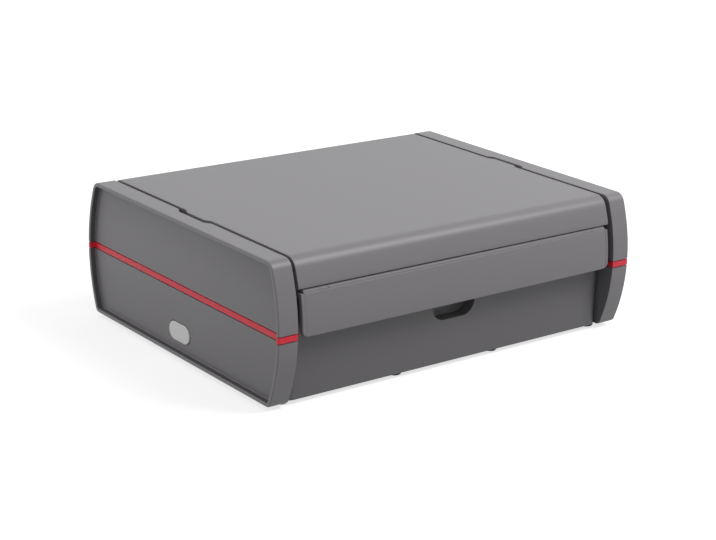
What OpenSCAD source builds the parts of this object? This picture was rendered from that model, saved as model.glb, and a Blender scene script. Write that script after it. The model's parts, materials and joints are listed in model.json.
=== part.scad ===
// Electric lunch box: a heated tub between two tall side cheeks, a lid hinged at the rear
// and a long latch flap hinged on the lid's front edge.
// Origin: middle of the footprint, on the floor. +X right, +Y towards the lid hinge, +Z up.

/* [Overall] */
// Width over both side cheeks
box_w = 265; // [250:1:285]
// Depth over the bulge of the side cheeks
box_d = 209; // [200:1:225]
// Height of the side cheeks
cheek_h = 84; // [82:0.5:92]
// How far the middle of the front and rear edges bulges past their ends
bulge = 8.6; // [6:0.2:10]
// How far the feet stand out below the tub
foot_h = 3.2; // [2:0.2:6]

/* [Side cheeks] */
// Width of one side cheek
cheek_t = 12.5; // [11.5:0.5:16]
// Wall round the edge of a cheek
cheek_wall = 2.4; // [2:0.1:3]
// Depth of the recess in the outer face
recess_depth = 3.5; // [2:0.1:4.5]
// Thickness of the recessed panel
web_t = 2.2; // [1.6:0.1:2.6]
// Radius of the upper corners in side view
top_r = 6.5; // [4:0.5:8]
// Radius of the lower corners in side view
bottom_r = 3.5; // [3:0.5:6]
// Rounding of the outer edges
edge_r = 0.8; // [0.6:0.1:1.5]

/* [Stripe] */
// Height of the red stripe
stripe_h = 3.4; // [2:0.2:6]
// Thickness of the stripe
stripe_t = 1; // [0.6:0.1:1.1]
// Length of the stripe's leg on the inner face of the cheek
stripe_leg = 6; // [4:0.5:8]

/* [Tub] */
// Wall of the tub
wall = 2.2; // [1.8:0.1:2.8]
// How far the tub's front wall stands behind the bulge
front_set = 10.5; // [10:0.25:12]
// How far lid, flap and rear wall stand inside the edge of the cheeks
shell_set = 0.8; // [0.6:0.1:1.6]
// Radius of the tub's front corners in plan
tub_r = 8; // [6:0.5:10]
// Radius along the tub's lower front edge
sill_r = 2; // [1:0.25:3]
// Thickness of the deck round the cavity
deck_t = 2.4; // [2:0.1:3]
// Width of the ledge that carries the deck
ledge_w = 2.5; // [2:0.25:3]

/* [Finger cut-out] */
// Width of the finger cut-out
finger_w = 32; // [26:1:40]
// How far its lower edge lies below the flap
finger_drop = 13; // [10:0.5:16]
// How far it reaches up behind the flap
finger_rise = 5.6; // [3:0.2:6]
// Depth of the pocket behind it
finger_depth = 8.5; // [6:0.5:10]
// Radius of its lower corners
finger_r = 9; // [4:0.5:10]

/* [Lid] */
// Height of the lid above the deck
lid_h = 24; // [23:0.5:28]
// Gap between the lid and each cheek
lid_gap = 3; // [2.6:0.1:4]
// Wall of the lid
lid_wall = 2.4; // [2:0.1:3]
// Radius of the lid's upper front and rear edges
lid_r = 8.7; // [5:0.1:9]
// Rounding of the lid's side edges
lid_edge_r = 0.8; // [0.6:0.1:1.5]
// Rounding of the lid's lower front edge
lid_step_r = 1; // [0.6:0.1:1.8]
// Height of the gap between lid and deck
part_gap = 0.4; // [0.3:0.1:0.8]
// How far the side tab stands out of the lid
tab_out = 2.3; // [1.5:0.1:2.5]
// Length of the tab's straight edge
tab_l = 18; // [10:1:30]
// Length of each slanted end of the tab
tab_run = 5; // [4:0.5:8]

/* [Lid hinge] */
// Radius of the rolled rear edge of the lid
hinge_r = 3.8; // [3.4:0.1:4]
// Height of the hinge axis above the deck
hinge_up = 2; // [1.8:0.1:2.2]
// Radius of the hinge pins
pin_r = 2; // [1.5:0.1:2.2]
// How far a pin reaches into the lid
pin_in = 7; // [5:0.5:12]
// Radial clearance of a turning pin
run_fit = 0.05; // [0.03:0.01:0.08]
// Radial clearance of a fixed pin or screw
seat_fit = 0.02; // [0.01:0.01:0.05]

/* [Flap] */
// Thickness of the flap
flap_t = 3; // [2.4:0.1:3.4]
// Height of the flap's upper edge above the deck
flap_up = 6.7; // [6:0.1:7]
// Height of the flap
flap_h = 27; // [24:0.5:32]
// Distance of the flap's axis from its face and from its upper edge
flap_axis = 2.6; // [2.4:0.1:2.8]
// Radius of the roll round the axis, set back under the lid
flap_r = 2; // [1.8:0.1:2.2]
// Height of the ledge before the roll above the axis
flap_ledge = 0.3; // [0.1:0.1:0.5]
// Gap between the flap and the lid above it
flap_gap = 0.3; // [0.3:0.1:0.8]
// How much narrower the flap is than the lid, each side
flap_inset = 1; // [0.2:0.1:1.2]
// Radius of the flap's lower corners
flap_corner = 4; // [2:0.5:8]
// Radius of the hinge rod
rod_r = 1; // [0.8:0.1:1.1]
// Distance from the middle to the lid's knuckles that hold the rod
knuckle_x = 100; // [80:1:104]
// Width of a knuckle
knuckle_w = 6; // [4:0.5:10]
// Radius of a knuckle, which the flap's face covers in front
knuckle_r = 1.7; // [1.5:0.1:1.8]
// Gap round a knuckle
knuckle_gap = 0.35; // [0.25:0.05:0.4]
// Width of the notch at each end of the flap's upper edge
end_notch = 2.2; // [1.5:0.1:4]
// Rounding of the flap's lower edge
flap_edge_r = 0.7; // [0.6:0.1:1.4]

/* [Catch] */
// Distance of each catch from the middle
catch_x = 60; // [40:1:80]
// Width of each catch
catch_w = 28; // [16:1:36]
// Drop from the flap's hinge to the underside of the catch
catch_drop = 18; // [15:0.5:20]
// How far hook and catch overlap
catch_grip = 1.5; // [1:0.1:2]
// Height of the catch
catch_t = 2.5; // [2:0.1:3]
// Height of the hook
hook_t = 3; // [2.4:0.1:3.5]
// How far the hook stays off the tub's front wall
hook_room = 1.9; // [1.6:0.1:2.4]
// Gap between hook and catch
catch_gap = 0.3; // [0.2:0.1:0.6]

/* [Cavity] */
// Room beside the cavity liner
side_room = 16; // [15:0.5:20]
// Room in front of the cavity liner
front_room = 14; // [13.5:0.5:20]
// Room between the cavity liner and the lid hinge
rear_room = 16; // [15:0.5:22]
// Corner radius of the cavity liner
cavity_r = 22; // [16:1:30]
// Sheet of the cavity liner
liner_t = 0.8; // [0.6:0.1:1]
// Width of the liner's flange
flange_w = 5; // [4:0.5:6]
// Draft of the liner and the dish, over their height
draft = 2; // [1:0.25:3]

/* [Food dish] */
// Room between dish and liner
dish_room = 1.5; // [1:0.25:3]
// How far the dish's closed lid stays below the deck
dish_gap = 1.3; // [0.8:0.1:4]
// Sheet of the dish
dish_t = 1; // [0.8:0.1:1.2]
// Width of the dish's rim
dish_rim = 3; // [2:0.25:3.5]
// Thickness of the dish lid
dish_lid_t = 2; // [1.6:0.1:2.4]

/* [Heating] */
// Thickness of the insulation under the heating element
pad_t = 8.2; // [8:0.1:12]
// Thickness of the heater plate
plate_t = 2; // [1.5:0.1:2.5]
// Thickness of the heating element
element_t = 1; // [0.8:0.1:1.4]
// How far the heater plate's edge stays inside the liner's floor
plate_set = 9; // [6:0.5:20]
// Radius of the thermostat
thermostat_r = 8; // [6:0.5:9]
// Height of the thermostat
thermostat_h = 7; // [5:0.5:7]
// Radius of the thermal fuse
fuse_r = 1.6; // [1.2:0.1:2]
// Length of the thermal fuse
fuse_l = 12; // [8:1:16]

/* [Mains inlet] */
// Width of the inlet opening in the left cheek
inlet_w = 23; // [20:0.5:26]
// Height of the inlet opening
inlet_h = 12.2; // [11:0.2:14]
// Height of its middle above the tub's bottom
inlet_up = 13.4; // [12.5:0.1:18]
// Distance of its middle behind the middle of the box
inlet_y = 2; // [-5:0.5:8]
// Depth of the socket
socket_depth = 11; // [8:0.5:12]
// Spacing of the two pins
pin_pitch = 8.6; // [8:0.1:9]
// Thickness of the stopper's face
stopper_t = 1.2; // [0.8:0.1:1.6]
// How far the stopper reaches into the socket
stopper_l = 7; // [5:0.5:8]
// Gap round the stopper in the socket
stopper_gap = 0.12; // [0.05:0.01:0.3]

/* [Lid filling] */
// Thickness of the lid liner
lid_liner_t = 2; // [1.6:0.1:2.4]
// Width of the lid seal
seal_w = 4; // [3:0.25:4.5]
// Gap between the closed lid's seal and the liner's flange
seal_gap = 0.3; // [0.2:0.1:0.6]
// Room above the lid's insulation
lid_pad_room = 3.5; // [1:0.5:8]
// Room beside the lid's insulation
lid_pad_side = 4; // [2:0.5:8]

/* [Feet] */
// Radius of a foot
foot_r = 4.5; // [3.5:0.25:5]
// Distance of the outer feet from the cheeks
foot_in = 2; // [2:0.5:20]
// Distance of the inner feet from the middle
foot_x_in = 37; // [20:1:60]
// Distance of the feet from the tub's front and rear edges
foot_set = 8; // [7:0.5:20]
// Depth of the seat of a foot
foot_seat = 0.8; // [0.4:0.1:1.2]

/* [Screws] */
// Radius of the screws' threads
screw_r = 1.25; // [1:0.05:1.5]
// Radius of the screws' heads
head_r = 2.8; // [2.4:0.1:3]
// Height of the screws' heads
head_h = 1.3; // [1:0.1:1.4]
// Distance of the cheek screws from the front and rear of the box
cheek_screw_set = 32.5; // [28:0.5:40]
// Distance of the cheek screws from the tub's bottom and from its deck
cheek_screw_up = 13; // [11:0.5:18]
// Distance of the deck screws from the cheeks and the tub's front
deck_screw_set = 9; // [8.5:0.5:10]
// Length of the deck screws
deck_screw_l = 14; // [8:1:15]
// Distance of the lid screws from the lid's ends
lid_screw_set = 17; // [10:1:25]
// How far the lid screws reach into their bosses
lid_screw_l = 7; // [5:0.5:9]

/* [Control board] */
// Thickness of the board
board_t = 1.6; // [1:0.2:2]
// Length of the board
board_l = 44; // [40:1:60]
// Height of the board
board_h = 38; // [30:1:42]
// Distance of its inner face from the cheek
board_in = 11.1; // [10.5:0.1:12]
// Distance from the middle of the inlet to the board
board_gap = 16; // [12:1:20]
// Height of the relay above the board
relay_h = 7; // [5:0.5:8]
// Width of the relay
relay_w = 15; // [10:1:16]
// Length of the relay
relay_l = 12; // [8:1:14]
// Radius of the capacitor
cap_r = 4.5; // [3:0.5:5]
// Height of the capacitor above the board
cap_h = 7.5; // [5:0.5:8]

/* [Hidden] */
$fn = 64;
eps = 0.01;
far = 400;

GREY = [0.42, 0.42, 0.43];
RED = [0.85, 0.12, 0.18];

// Heights
z_bot = foot_h;
z_top = z_bot + cheek_h;
z_mid = (z_bot + z_top) / 2;
z_deck = z_top - lid_h;
z_seat = z_deck - deck_t;
z_hinge = z_deck + hinge_up;
z_flap_top = z_deck + flap_up;
z_flap = z_flap_top - flap_axis;
z_flap_low = z_flap_top - flap_h;
z_step = z_flap_top + flap_gap;
z_inside = z_bot + wall;
z_element = z_inside + pad_t;
z_plate = z_element + element_t;
z_floor = z_plate + plate_t + liner_t;
z_rim = z_deck - dish_gap - dish_lid_t;
z_seal = z_deck + liner_t + seal_gap;
z_lid_liner = z_seal + 1.3;
z_inlet = z_bot + inlet_up;

// The bulging edges are arcs of this radius, centred bow_c beyond the middle of the box
bow_r = (pow(cheek_h / 2, 2) + pow(bulge, 2)) / (2 * bulge);
bow_c = bow_r - box_d / 2;
function edge_y(z, d) = sqrt(pow(bow_r - d, 2) - pow(z - z_mid, 2)) - bow_c;

// Widths
x_out = box_w / 2;
x_in = x_out - cheek_t;
x_floor = x_out - recess_depth;
x_web = x_floor - web_t;
x_lid = x_in - lid_gap;
x_flap = x_lid - flap_inset;
x_rod = x_flap - end_notch - 0.8;
side_t = 2.2;
side_fit = 0.1;
side_set = cheek_wall + side_fit;

// Depths
y_front = -(box_d / 2 - front_set);
y_hinge = edge_y(z_hinge, shell_set) - hinge_r;
y_trough = y_hinge - hinge_r - 0.5;
y_flap = -(edge_y(z_flap, shell_set) - flap_axis);
y_lip = y_flap + flap_axis + 0.4;
y_cav0 = y_front + front_room;
y_cav1 = y_trough - rear_room;
x_cav = x_in - side_room;

// Extrude a side view, drawn as (Y, Z), between two X values
module along_x(x0, x1) {
    translate([x0, 0, 0]) rotate([90, 0, 90]) linear_extrude(x1 - x0) children();
}

// Extrude a front view, drawn as (X, Z), between two Y values
module along_y(y0, y1) {
    translate([0, y1, 0]) rotate([90, 0, 0]) linear_extrude(y1 - y0) children();
}

// Extrude a plan, drawn as (X, Y), between two Z values
module along_z(z0, z1) {
    translate([0, 0, z0]) linear_extrude(z1 - z0) children();
}

// Copies on both sides of the box
module both_sides() {
    children();
    mirror([1, 0, 0]) children();
}

// Rectangle from corner to corner
module box2(a, b) {
    translate(a) square([b[0] - a[0], b[1] - a[1]]);
}

// Rectangle with round corners
module round_box2(a, b, r) {
    box2([a[0] + r, a[1]], [b[0] - r, b[1]]);
    box2([a[0], a[1] + r], [b[0], b[1] - r]);
    for (x = [a[0] + r, b[0] - r], y = [a[1] + r, b[1] - r]) {
        translate([x, y]) circle(r);
    }
}

// Rectangle with round ends
module stadium2(w, h) {
    box2([-(w - h) / 2, -h / 2], [(w - h) / 2, h / 2]);
    for (s = [-1, 1]) translate([s * (w - h) / 2, 0]) circle(h / 2);
}

// Side outline of the box, its bulging edges set in by d, from z0 up to z1, with corner radii
module barrel(d, z0, z1, r_top = 0, r_low = 0) {
    r = bow_r - d;
    zk_top = z1 - r_top;
    zk_low = z0 + r_low;
    zt_top = z_mid + (zk_top - z_mid) * r / (r - r_top);
    zt_low = z_mid + (zk_low - z_mid) * r / (r - r_low);
    for (s = [0, 1]) mirror([s, 0]) intersection() {
        translate([-bow_c, z_mid]) rotate(180) circle(r, $fn = 120);
        box2([0, zt_low], [far, zt_top]);
    }
    if (r_top > 0) corner_pair(r - r_top, zk_top, r_top, 1);
    if (r_low > 0) corner_pair(r - r_low, zk_low, r_low, -1);
}

// The rounded corners at one end of the side outline and the strip between them
module corner_pair(reach, zk, rk, up) {
    yk = sqrt(pow(reach, 2) - pow(zk - z_mid, 2)) - bow_c;
    box2([-yk, min(zk, zk + up * rk)], [yk, max(zk, zk + up * rk)]);
    for (s = [-1, 1]) translate([s * yk, zk]) circle(rk, $fn = 32);
}

// Whole side outline, set in by d all round
module side_outline(d) {
    barrel(d, z_bot + d, z_top - d, max(top_r - d, 1), max(bottom_r - d, 1));
}

// A screw pointing along +Z from its head's seat
module screw(shank_r, shank_l, head_r, head_h) {
    translate([0, 0, -head_h]) cylinder(r = head_r, h = head_h);
    translate([0, 0, -eps]) cylinder(r = shank_r, h = shank_l + eps);
}

// A straight wire from a to b
module wire(a, b, r) {
    v = b - a;
    translate(a) rotate([0, acos(v[2] / norm(v)), atan2(v[1], v[0])]) cylinder(r = r, h = norm(v));
}

// ---- Side cheeks and stripes ----

// Plan of a right cheek at its middle height, set in by d
module cheek_plan(d) {
    difference() {
        round_box2([x_in + d, -box_d / 2 + d], [x_out - d, box_d / 2 - d], max(edge_r - d, 0.2));
        box2([x_floor - d, -box_d / 2 + cheek_wall - d], [x_out + 1, box_d / 2 - cheek_wall + d]);
    }
}

// Plan of the space that the stripe lies in
module stripe_space() {
    difference() {
        box2([x_in - 1, -box_d / 2 - 1], [x_out + 1, box_d / 2 + 1]);
        cheek_plan(stripe_t);
        box2([x_in - 2, -box_d / 2 + stripe_leg], [x_in + stripe_t + 1, box_d / 2 - stripe_leg]);
    }
}

module stripe() {
    color(RED) along_z(z_mid - stripe_h / 2, z_mid + stripe_h / 2) intersection() {
        stripe_space();
        cheek_plan(0);
    }
}

// Plan of the notch for the lid's side tab, or of the tab itself, grown by g
module tab_plan(reach, g) {
    polygon([
        [x_lid - 1, -tab_l / 2 - tab_run - 1.4 * g], [reach - tab_out, -tab_l / 2 - tab_run - 1.4 * g],
        [reach, -tab_l / 2 - 1.4 * g], [reach, tab_l / 2 + 1.4 * g],
        [reach - tab_out, tab_l / 2 + tab_run + 1.4 * g], [x_lid - 1, tab_l / 2 + tab_run + 1.4 * g]
    ]);
}

screw_y = box_d / 2 - cheek_screw_set;
screw_z = [z_bot + cheek_screw_up, z_deck - cheek_screw_up];
boss_r = screw_r + 2.25;
pilot_r = screw_r;
hole_r = screw_r + 0.35;

// Cheek without stripe groove: a rounded slab, recessed outside and hollow inside
module cheek_blank() {
    difference() {
        hull() for (k = [0 : 3]) {
            side = edge_r * (1 - cos(30 * k));
            along_x(x_in + side, x_out - side) side_outline(edge_r * (1 - sin(30 * k)));
        }
        along_x(x_floor, x_out + 1) side_outline(cheek_wall);
        along_x(x_in - 1, x_web) side_outline(cheek_wall);
    }
}

module cheek() {
    difference() {
        union() {
            cheek_blank();
            for (y = [-screw_y, screw_y], z = screw_z) translate([x_in + side_t, y, z])
                rotate([0, 90, 0]) cylinder(r = boss_r, h = x_web - x_in - side_t + eps);
        }
        along_z(z_mid - stripe_h / 2, z_mid + stripe_h / 2) stripe_space();
        along_z(z_deck - 1, z_top + 1) tab_plan(x_in + tab_out, lid_gap);
        for (y = [-screw_y, screw_y], z = screw_z) translate([x_in, y, z])
            rotate([0, 90, 0]) cylinder(r = pilot_r, h = x_web - x_in + 0.6);
        for (y = foot_y) translate([foot_x, y, z_bot - 1])
            cylinder(r = foot_r + 0.1, h = foot_seat + 1, $fn = 32);
    }
}

module left_cheek() {
    color(GREY) difference() {
        mirror([1, 0, 0]) cheek();
        along_x(-x_out, -x_in) translate([inlet_y, z_inlet]) stadium2(inlet_w, inlet_h);
    }
}

module right_cheek() {
    color(GREY) cheek();
}

module left_stripe() {
    mirror([1, 0, 0]) stripe();
}

module right_stripe() {
    stripe();
}

// ---- Tub ----

// Plan of the tub set in by d: round front corners, square rear corners
module tub_plan(d) {
    yk = y_front + tub_r;
    box2([-x_in + tub_r, y_front + d], [x_in - tub_r, box_d / 2]);
    box2([-x_in, yk], [x_in, box_d / 2]);
    for (s = [-1, 1]) translate([s * (x_in - tub_r), yk]) circle(tub_r - d);
}

// Side view of the tub set in by d, up to height z
module tub_side(d, z) {
    intersection() {
        barrel(shell_set + d, z_bot, z_top);
        union() {
            box2([y_front + d + sill_r, z_bot + d], [far, z]);
            box2([y_front + d, z_bot + d + sill_r], [far, z]);
            translate([y_front + d + sill_r, z_bot + d + sill_r]) circle(sill_r);
        }
    }
}

module tub_solid(d, z) {
    intersection() {
        along_x(-x_in, x_in) tub_side(d, z);
        along_z(0, z) tub_plan(d);
    }
}

// Front view of the finger cut-out, grown by g
module finger_front(g) {
    w = finger_w / 2 + g;
    z0 = z_flap_low - finger_drop - g;
    z1 = z_flap_low + finger_rise + g;
    r = finger_r + g;
    box2([-w + r, z0], [w - r, z1]);
    box2([-w, z0 + r], [w, z1]);
    for (s = [-1, 1]) translate([s * (w - r), z0 + r]) circle(r);
}

pocket_t = 1.8;
notch_t = 1.2;
z_notch = z_deck - 1;
foot_x = x_in - foot_in;
foot_y = [y_front + foot_set, edge_y(z_bot, shell_set) - foot_set];
foot_places = [for (x = [-foot_x, -foot_x_in, foot_x_in, foot_x], y = foot_y) [x, y]];
deck_screw_x = x_in - deck_screw_set;
deck_screw_y = [y_front + deck_screw_set, y_trough - hinge_r - wall];
z_catch = z_flap - catch_drop;
y_hook = y_front - hook_room;
y_catch = y_hook - catch_grip;

// Side plate that closes a cheek from inside, with its hinge boss and the pocket of the tab
module side_plate() {
    difference() {
        union() {
            along_x(x_in - eps, x_in + side_t) side_outline(side_set);
            intersection() {
                translate([x_in, y_hinge, z_hinge]) rotate([0, 90, 0]) cylinder(r = 4.5, h = x_web - x_in - 0.4);
                along_x(x_in, x_web) side_outline(side_set);
            }
            intersection() {
                along_z(z_notch - notch_t, z_top)
                    box2([x_in, -tab_l / 2 - tab_run - 1.4 * lid_gap - notch_t],
                        [x_in + tab_out + notch_t, tab_l / 2 + tab_run + 1.4 * lid_gap + notch_t]);
                along_x(x_in, x_web) side_outline(side_set);
            }
        }
        along_z(z_notch, z_top + 1) tab_plan(x_in + tab_out, lid_gap);
        along_z(z_mid - stripe_h / 2, z_mid + stripe_h / 2) stripe_space();
        translate([x_in - 1, y_hinge, z_hinge]) rotate([0, 90, 0])
            cylinder(r = pin_r + seat_fit, h = cheek_t);
        for (y = [-screw_y, screw_y], z = screw_z) translate([x_in - 1, y, z])
            rotate([0, 90, 0]) cylinder(r = hole_r, h = side_t + 2);
    }
}

// Open tub with the ledge that carries the deck
module tub_walls() {
    difference() {
        tub_solid(0, z_deck);
        tub_solid(wall, z_seat - ledge_w);
        tub_solid(wall + ledge_w, z_seat + eps);
        intersection() {
            tub_solid(wall, z_deck + 1);
            along_z(z_seat, z_deck + 1) tub_plan(wall);
        }
        along_x(-far, far) box2([y_trough, z_seat], [far, z_deck + 1]);
    }
}

module base_shell() {
    color(GREY) difference() {
        union() {
            tub_walls();
            both_sides() side_plate();
            intersection() {
                tub_solid(wall / 2, z_deck);
                along_x(-x_in, x_in) box2([y_trough - ledge_w, z_seat - wall], [far, z_seat]);
            }
            along_y(y_front, y_front + finger_depth + pocket_t) finger_front(pocket_t);
            both_sides() along_y(y_catch, y_front + eps)
                box2([catch_x - catch_w / 2, z_catch], [catch_x + catch_w / 2, z_catch + catch_t]);
            for (s = [-1, 1], y = deck_screw_y) translate([s * deck_screw_x, y, z_inside - eps])
                cylinder(r = boss_r, h = z_seat - z_inside + eps);
        }
        along_y(y_front - 1, y_front + finger_depth) finger_front(0);
        for (p = foot_places) translate([p[0], p[1], z_bot - eps]) cylinder(r = foot_r + 0.1, h = foot_seat + eps);
        for (s = [-1, 1], y = deck_screw_y) translate([s * deck_screw_x, y, z_deck - deck_screw_l - head_h - 1])
            cylinder(r = pilot_r, h = deck_screw_l + 5);
        along_x(-x_in - side_t - 1, -x_in + 1) translate([inlet_y, z_inlet])
            stadium2(inlet_w + 5, inlet_h + 5);
    }
}

module rubber_feet() {
    color([0.09, 0.09, 0.1]) for (p = foot_places) translate([p[0], p[1], 0]) {
        cylinder(r1 = foot_r - 0.8, r2 = foot_r, h = 0.8);
        translate([0, 0, 0.8]) cylinder(r = foot_r, h = z_bot + foot_seat - 0.8);
    }
}

module hinge_pins() {
    color("silver") both_sides() translate([x_lid - pin_in, y_hinge, z_hinge]) rotate([0, 90, 0])
        cylinder(r = pin_r, h = x_web - 0.4 - x_lid + pin_in);
}

module cheek_screws() {
    color("silver") both_sides() for (y = [-screw_y, screw_y], z = screw_z)
        translate([x_in - eps, y, z]) rotate([0, 90, 0]) screw(pilot_r - seat_fit, x_web - x_in, head_r, head_h);
}

// ---- Deck, cavity liner and dish ----

// A drawn pan: its plan shrinks by draft over its height
module pan_solid(a, b, r, z0, z1, taper) {
    hull() {
        along_z(z1 - eps, z1) round_box2(a, b, r, $fn = 48);
        along_z(z0, z0 + eps) round_box2(a + [taper, taper], b - [taper, taper], r - taper, $fn = 48);
    }
}

module pan_flange(a, b, r, w, hole, z0, z1) {
    along_z(z0, z1) difference() {
        round_box2(a - [w, w], b + [w, w], r + w);
        round_box2(a + [hole, hole], b - [hole, hole], r - hole);
    }
}

cav_a = [-x_cav, y_cav0];
cav_b = [x_cav, y_cav1];
dish_a = cav_a + [dish_room + liner_t, dish_room + liner_t] + [dish_rim, dish_rim];
dish_b = cav_b - [dish_room + liner_t, dish_room + liner_t] - [dish_rim, dish_rim];
dish_cr = cavity_r - dish_room - liner_t - dish_rim;

module deck_frame() {
    fit = 0.15;
    color(GREY) difference() {
        union() {
            along_z(z_seat, z_deck) intersection() {
                tub_plan(wall + fit);
                box2([-x_in + fit, y_front], [x_in - fit, y_trough]);
            }
            along_z(z_seat - 4, z_seat + eps)
                round_box2(cav_a - [3, 3], cav_b + [3, 3], cavity_r + 3);
        }
        along_z(z_seat - 5, z_deck + 1) round_box2(cav_a - [0.5, 0.5], cav_b + [0.5, 0.5], cavity_r + 0.5);
        for (s = [-1, 1], y = deck_screw_y) translate([s * deck_screw_x, y, z_seat - 1]) {
            cylinder(r = hole_r, h = deck_t + 2);
            translate([0, 0, 1 + deck_t - head_h - 0.2]) cylinder(r = head_r + 0.3, h = head_h + 1);
        }
    }
}

module deck_screws() {
    color("silver") for (s = [-1, 1], y = deck_screw_y)
        translate([s * deck_screw_x, y, z_deck - head_h - 0.2])
        rotate([180, 0, 0]) screw(pilot_r - seat_fit, deck_screw_l, head_r, head_h);
}

module cavity_liner() {
    color([0.75, 0.75, 0.76]) difference() {
        union() {
            pan_solid(cav_a, cav_b, cavity_r, z_floor - liner_t, z_deck + eps, draft);
            pan_flange(cav_a, cav_b, cavity_r, flange_w, 0.5, z_deck, z_deck + liner_t);
        }
        pan_solid(cav_a + [liner_t, liner_t], cav_b - [liner_t, liner_t], cavity_r - liner_t,
            z_floor, z_deck + liner_t + 1, draft);
    }
}

module food_dish() {
    color([0.8, 0.8, 0.82]) difference() {
        union() {
            pan_solid(dish_a, dish_b, dish_cr, z_floor, z_rim, draft);
            pan_flange(dish_a, dish_b, dish_cr, dish_rim, 0.2, z_rim - dish_t, z_rim);
        }
        pan_solid(dish_a + [dish_t, dish_t], dish_b - [dish_t, dish_t], dish_cr - dish_t,
            z_floor + dish_t, z_rim + 1, draft);
    }
}

seal_in = dish_t + 0.3;
plug_h = 3;

module dish_lid() {
    a = dish_a + [seal_in + 2, seal_in + 2];
    b = dish_b - [seal_in + 2, seal_in + 2];
    r = dish_cr - seal_in - 2;
    color([0.86, 0.87, 0.88]) {
        along_z(z_rim, z_rim + dish_lid_t)
            round_box2(dish_a - [dish_rim, dish_rim], dish_b + [dish_rim, dish_rim], dish_cr + dish_rim);
        along_z(z_rim - plug_h, z_rim + eps) difference() {
            round_box2(a, b, r);
            round_box2(a + [1.5, 1.5], b - [1.5, 1.5], r - 1.5);
        }
    }
}

module dish_seal() {
    color([0.75, 0.2, 0.22]) along_z(z_rim - plug_h, z_rim) difference() {
        round_box2(dish_a + [seal_in, seal_in], dish_b - [seal_in, seal_in], dish_cr - seal_in);
        round_box2(dish_a + [seal_in + 2, seal_in + 2], dish_b - [seal_in + 2, seal_in + 2],
            dish_cr - seal_in - 2);
    }
}

// ---- Heating ----

floor_a = cav_a + [draft + plate_set, draft + plate_set];
floor_b = cav_b - [draft + plate_set, draft + plate_set];
fuse_x = 30;
y_cav = (y_cav0 + y_cav1) / 2;

module heater_plate() {
    color([0.7, 0.71, 0.72]) along_z(z_plate, z_floor - liner_t) round_box2(floor_a, floor_b, 10);
}

// Openings in element and insulation for the thermostat and the fuse
module sensor_holes() {
    translate([0, y_cav]) circle(thermostat_r + 0.5);
    translate([fuse_x, y_cav]) box2([-fuse_r - 0.5, -fuse_l / 2 - 1], [fuse_r + 0.5, fuse_l / 2 + 1]);
}

module heater_element() {
    color([0.75, 0.45, 0.15]) along_z(z_element, z_plate) difference() {
        round_box2(floor_a + [3, 3], floor_b - [3, 3], 8);
        sensor_holes();
    }
}

module heater_insulation() {
    color([0.9, 0.88, 0.8]) along_z(z_inside, z_element) difference() {
        round_box2(floor_a, floor_b, 10);
        sensor_holes();
    }
}

module thermostat() {
    color([0.2, 0.2, 0.2]) translate([0, y_cav, z_plate - thermostat_h]) {
        cylinder(r = thermostat_r, h = thermostat_h);
    }
}

module thermal_fuse() {
    color([0.85, 0.85, 0.8]) translate([fuse_x, y_cav - fuse_l / 2, z_plate - fuse_r]) rotate([-90, 0, 0])
        cylinder(r = fuse_r, h = fuse_l);
}

// ---- Mains inlet, board and wires ----

inlet_back = x_floor - 17;
x_inlet = x_floor - 0.6;
board_x = x_in - board_in + board_t;
board_y = [inlet_y + board_gap, inlet_y + board_gap + board_l];
board_z = [z_inside, z_inside + board_h];
wire_r = 0.9;

// Front view of the two-pin socket, grown by g
module socket2(g) {
    for (s = [-1, 1]) translate([s * pin_pitch / 2, 0]) circle(4.1 + g);
    box2([-pin_pitch / 2, -3.6 - g], [pin_pitch / 2, 3.6 + g]);
}

module power_inlet() {
    color([0.95, 0.95, 0.95]) difference() {
        union() {
            along_x(-x_inlet, -inlet_back) translate([inlet_y, z_inlet]) stadium2(inlet_w - 0.3, inlet_h - 0.3);
            along_x(-x_web, -x_web + 2) translate([inlet_y, z_inlet]) stadium2(inlet_w + 4, inlet_h + 4);
        }
        along_x(-x_inlet - 1, -x_inlet + socket_depth) translate([inlet_y, z_inlet]) socket2(0);
        for (s = [-1, 1]) translate([-x_inlet, inlet_y + s * pin_pitch / 2, z_inlet]) rotate([0, 90, 0])
            cylinder(r = 1.2 + seat_fit, h = 30);
    }
}

module inlet_pins() {
    color([0.85, 0.75, 0.45]) for (s = [-1, 1])
        translate([-x_inlet + 3, inlet_y + s * pin_pitch / 2, z_inlet]) rotate([0, 90, 0])
        cylinder(r = 1.2, h = x_inlet - 3 - board_x + board_t);
}

// Soft stopper that is pulled out of the socket before use
module inlet_stopper() {
    color([0.95, 0.95, 0.95]) difference() {
        union() {
            along_x(-x_inlet - stopper_t, -x_inlet) translate([inlet_y, z_inlet])
                stadium2(inlet_w - 0.8, inlet_h - 0.8);
            along_x(-x_inlet - eps, -x_inlet + stopper_l) translate([inlet_y, z_inlet]) socket2(-stopper_gap);
        }
        for (s = [-1, 1]) translate([-x_inlet + 1.2, inlet_y + s * pin_pitch / 2, z_inlet]) rotate([0, 90, 0])
            cylinder(r = 1.6, h = stopper_l);
    }
}

module control_board() {
    color([0.1, 0.4, 0.2]) translate([-board_x, board_y[0], board_z[0]])
        cube([board_t, board_y[1] - board_y[0], board_z[1] - board_z[0]]);
}

module board_parts() {
    color([0.15, 0.15, 0.17]) {
        translate([-board_x - relay_h, board_y[1] - relay_w - 3, board_z[1] - relay_l - 3])
            cube([relay_h, relay_w, relay_l]);
        translate([-board_x - relay_h, board_y[0] + 3, board_z[0] + 4]) cube([relay_h, relay_l, relay_w]);
        translate([-board_x, board_y[1] - 2 * cap_r, board_z[0] + 2 * cap_r]) rotate([0, -90, 0])
            cylinder(r = cap_r, h = cap_h);
    }
}

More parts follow.
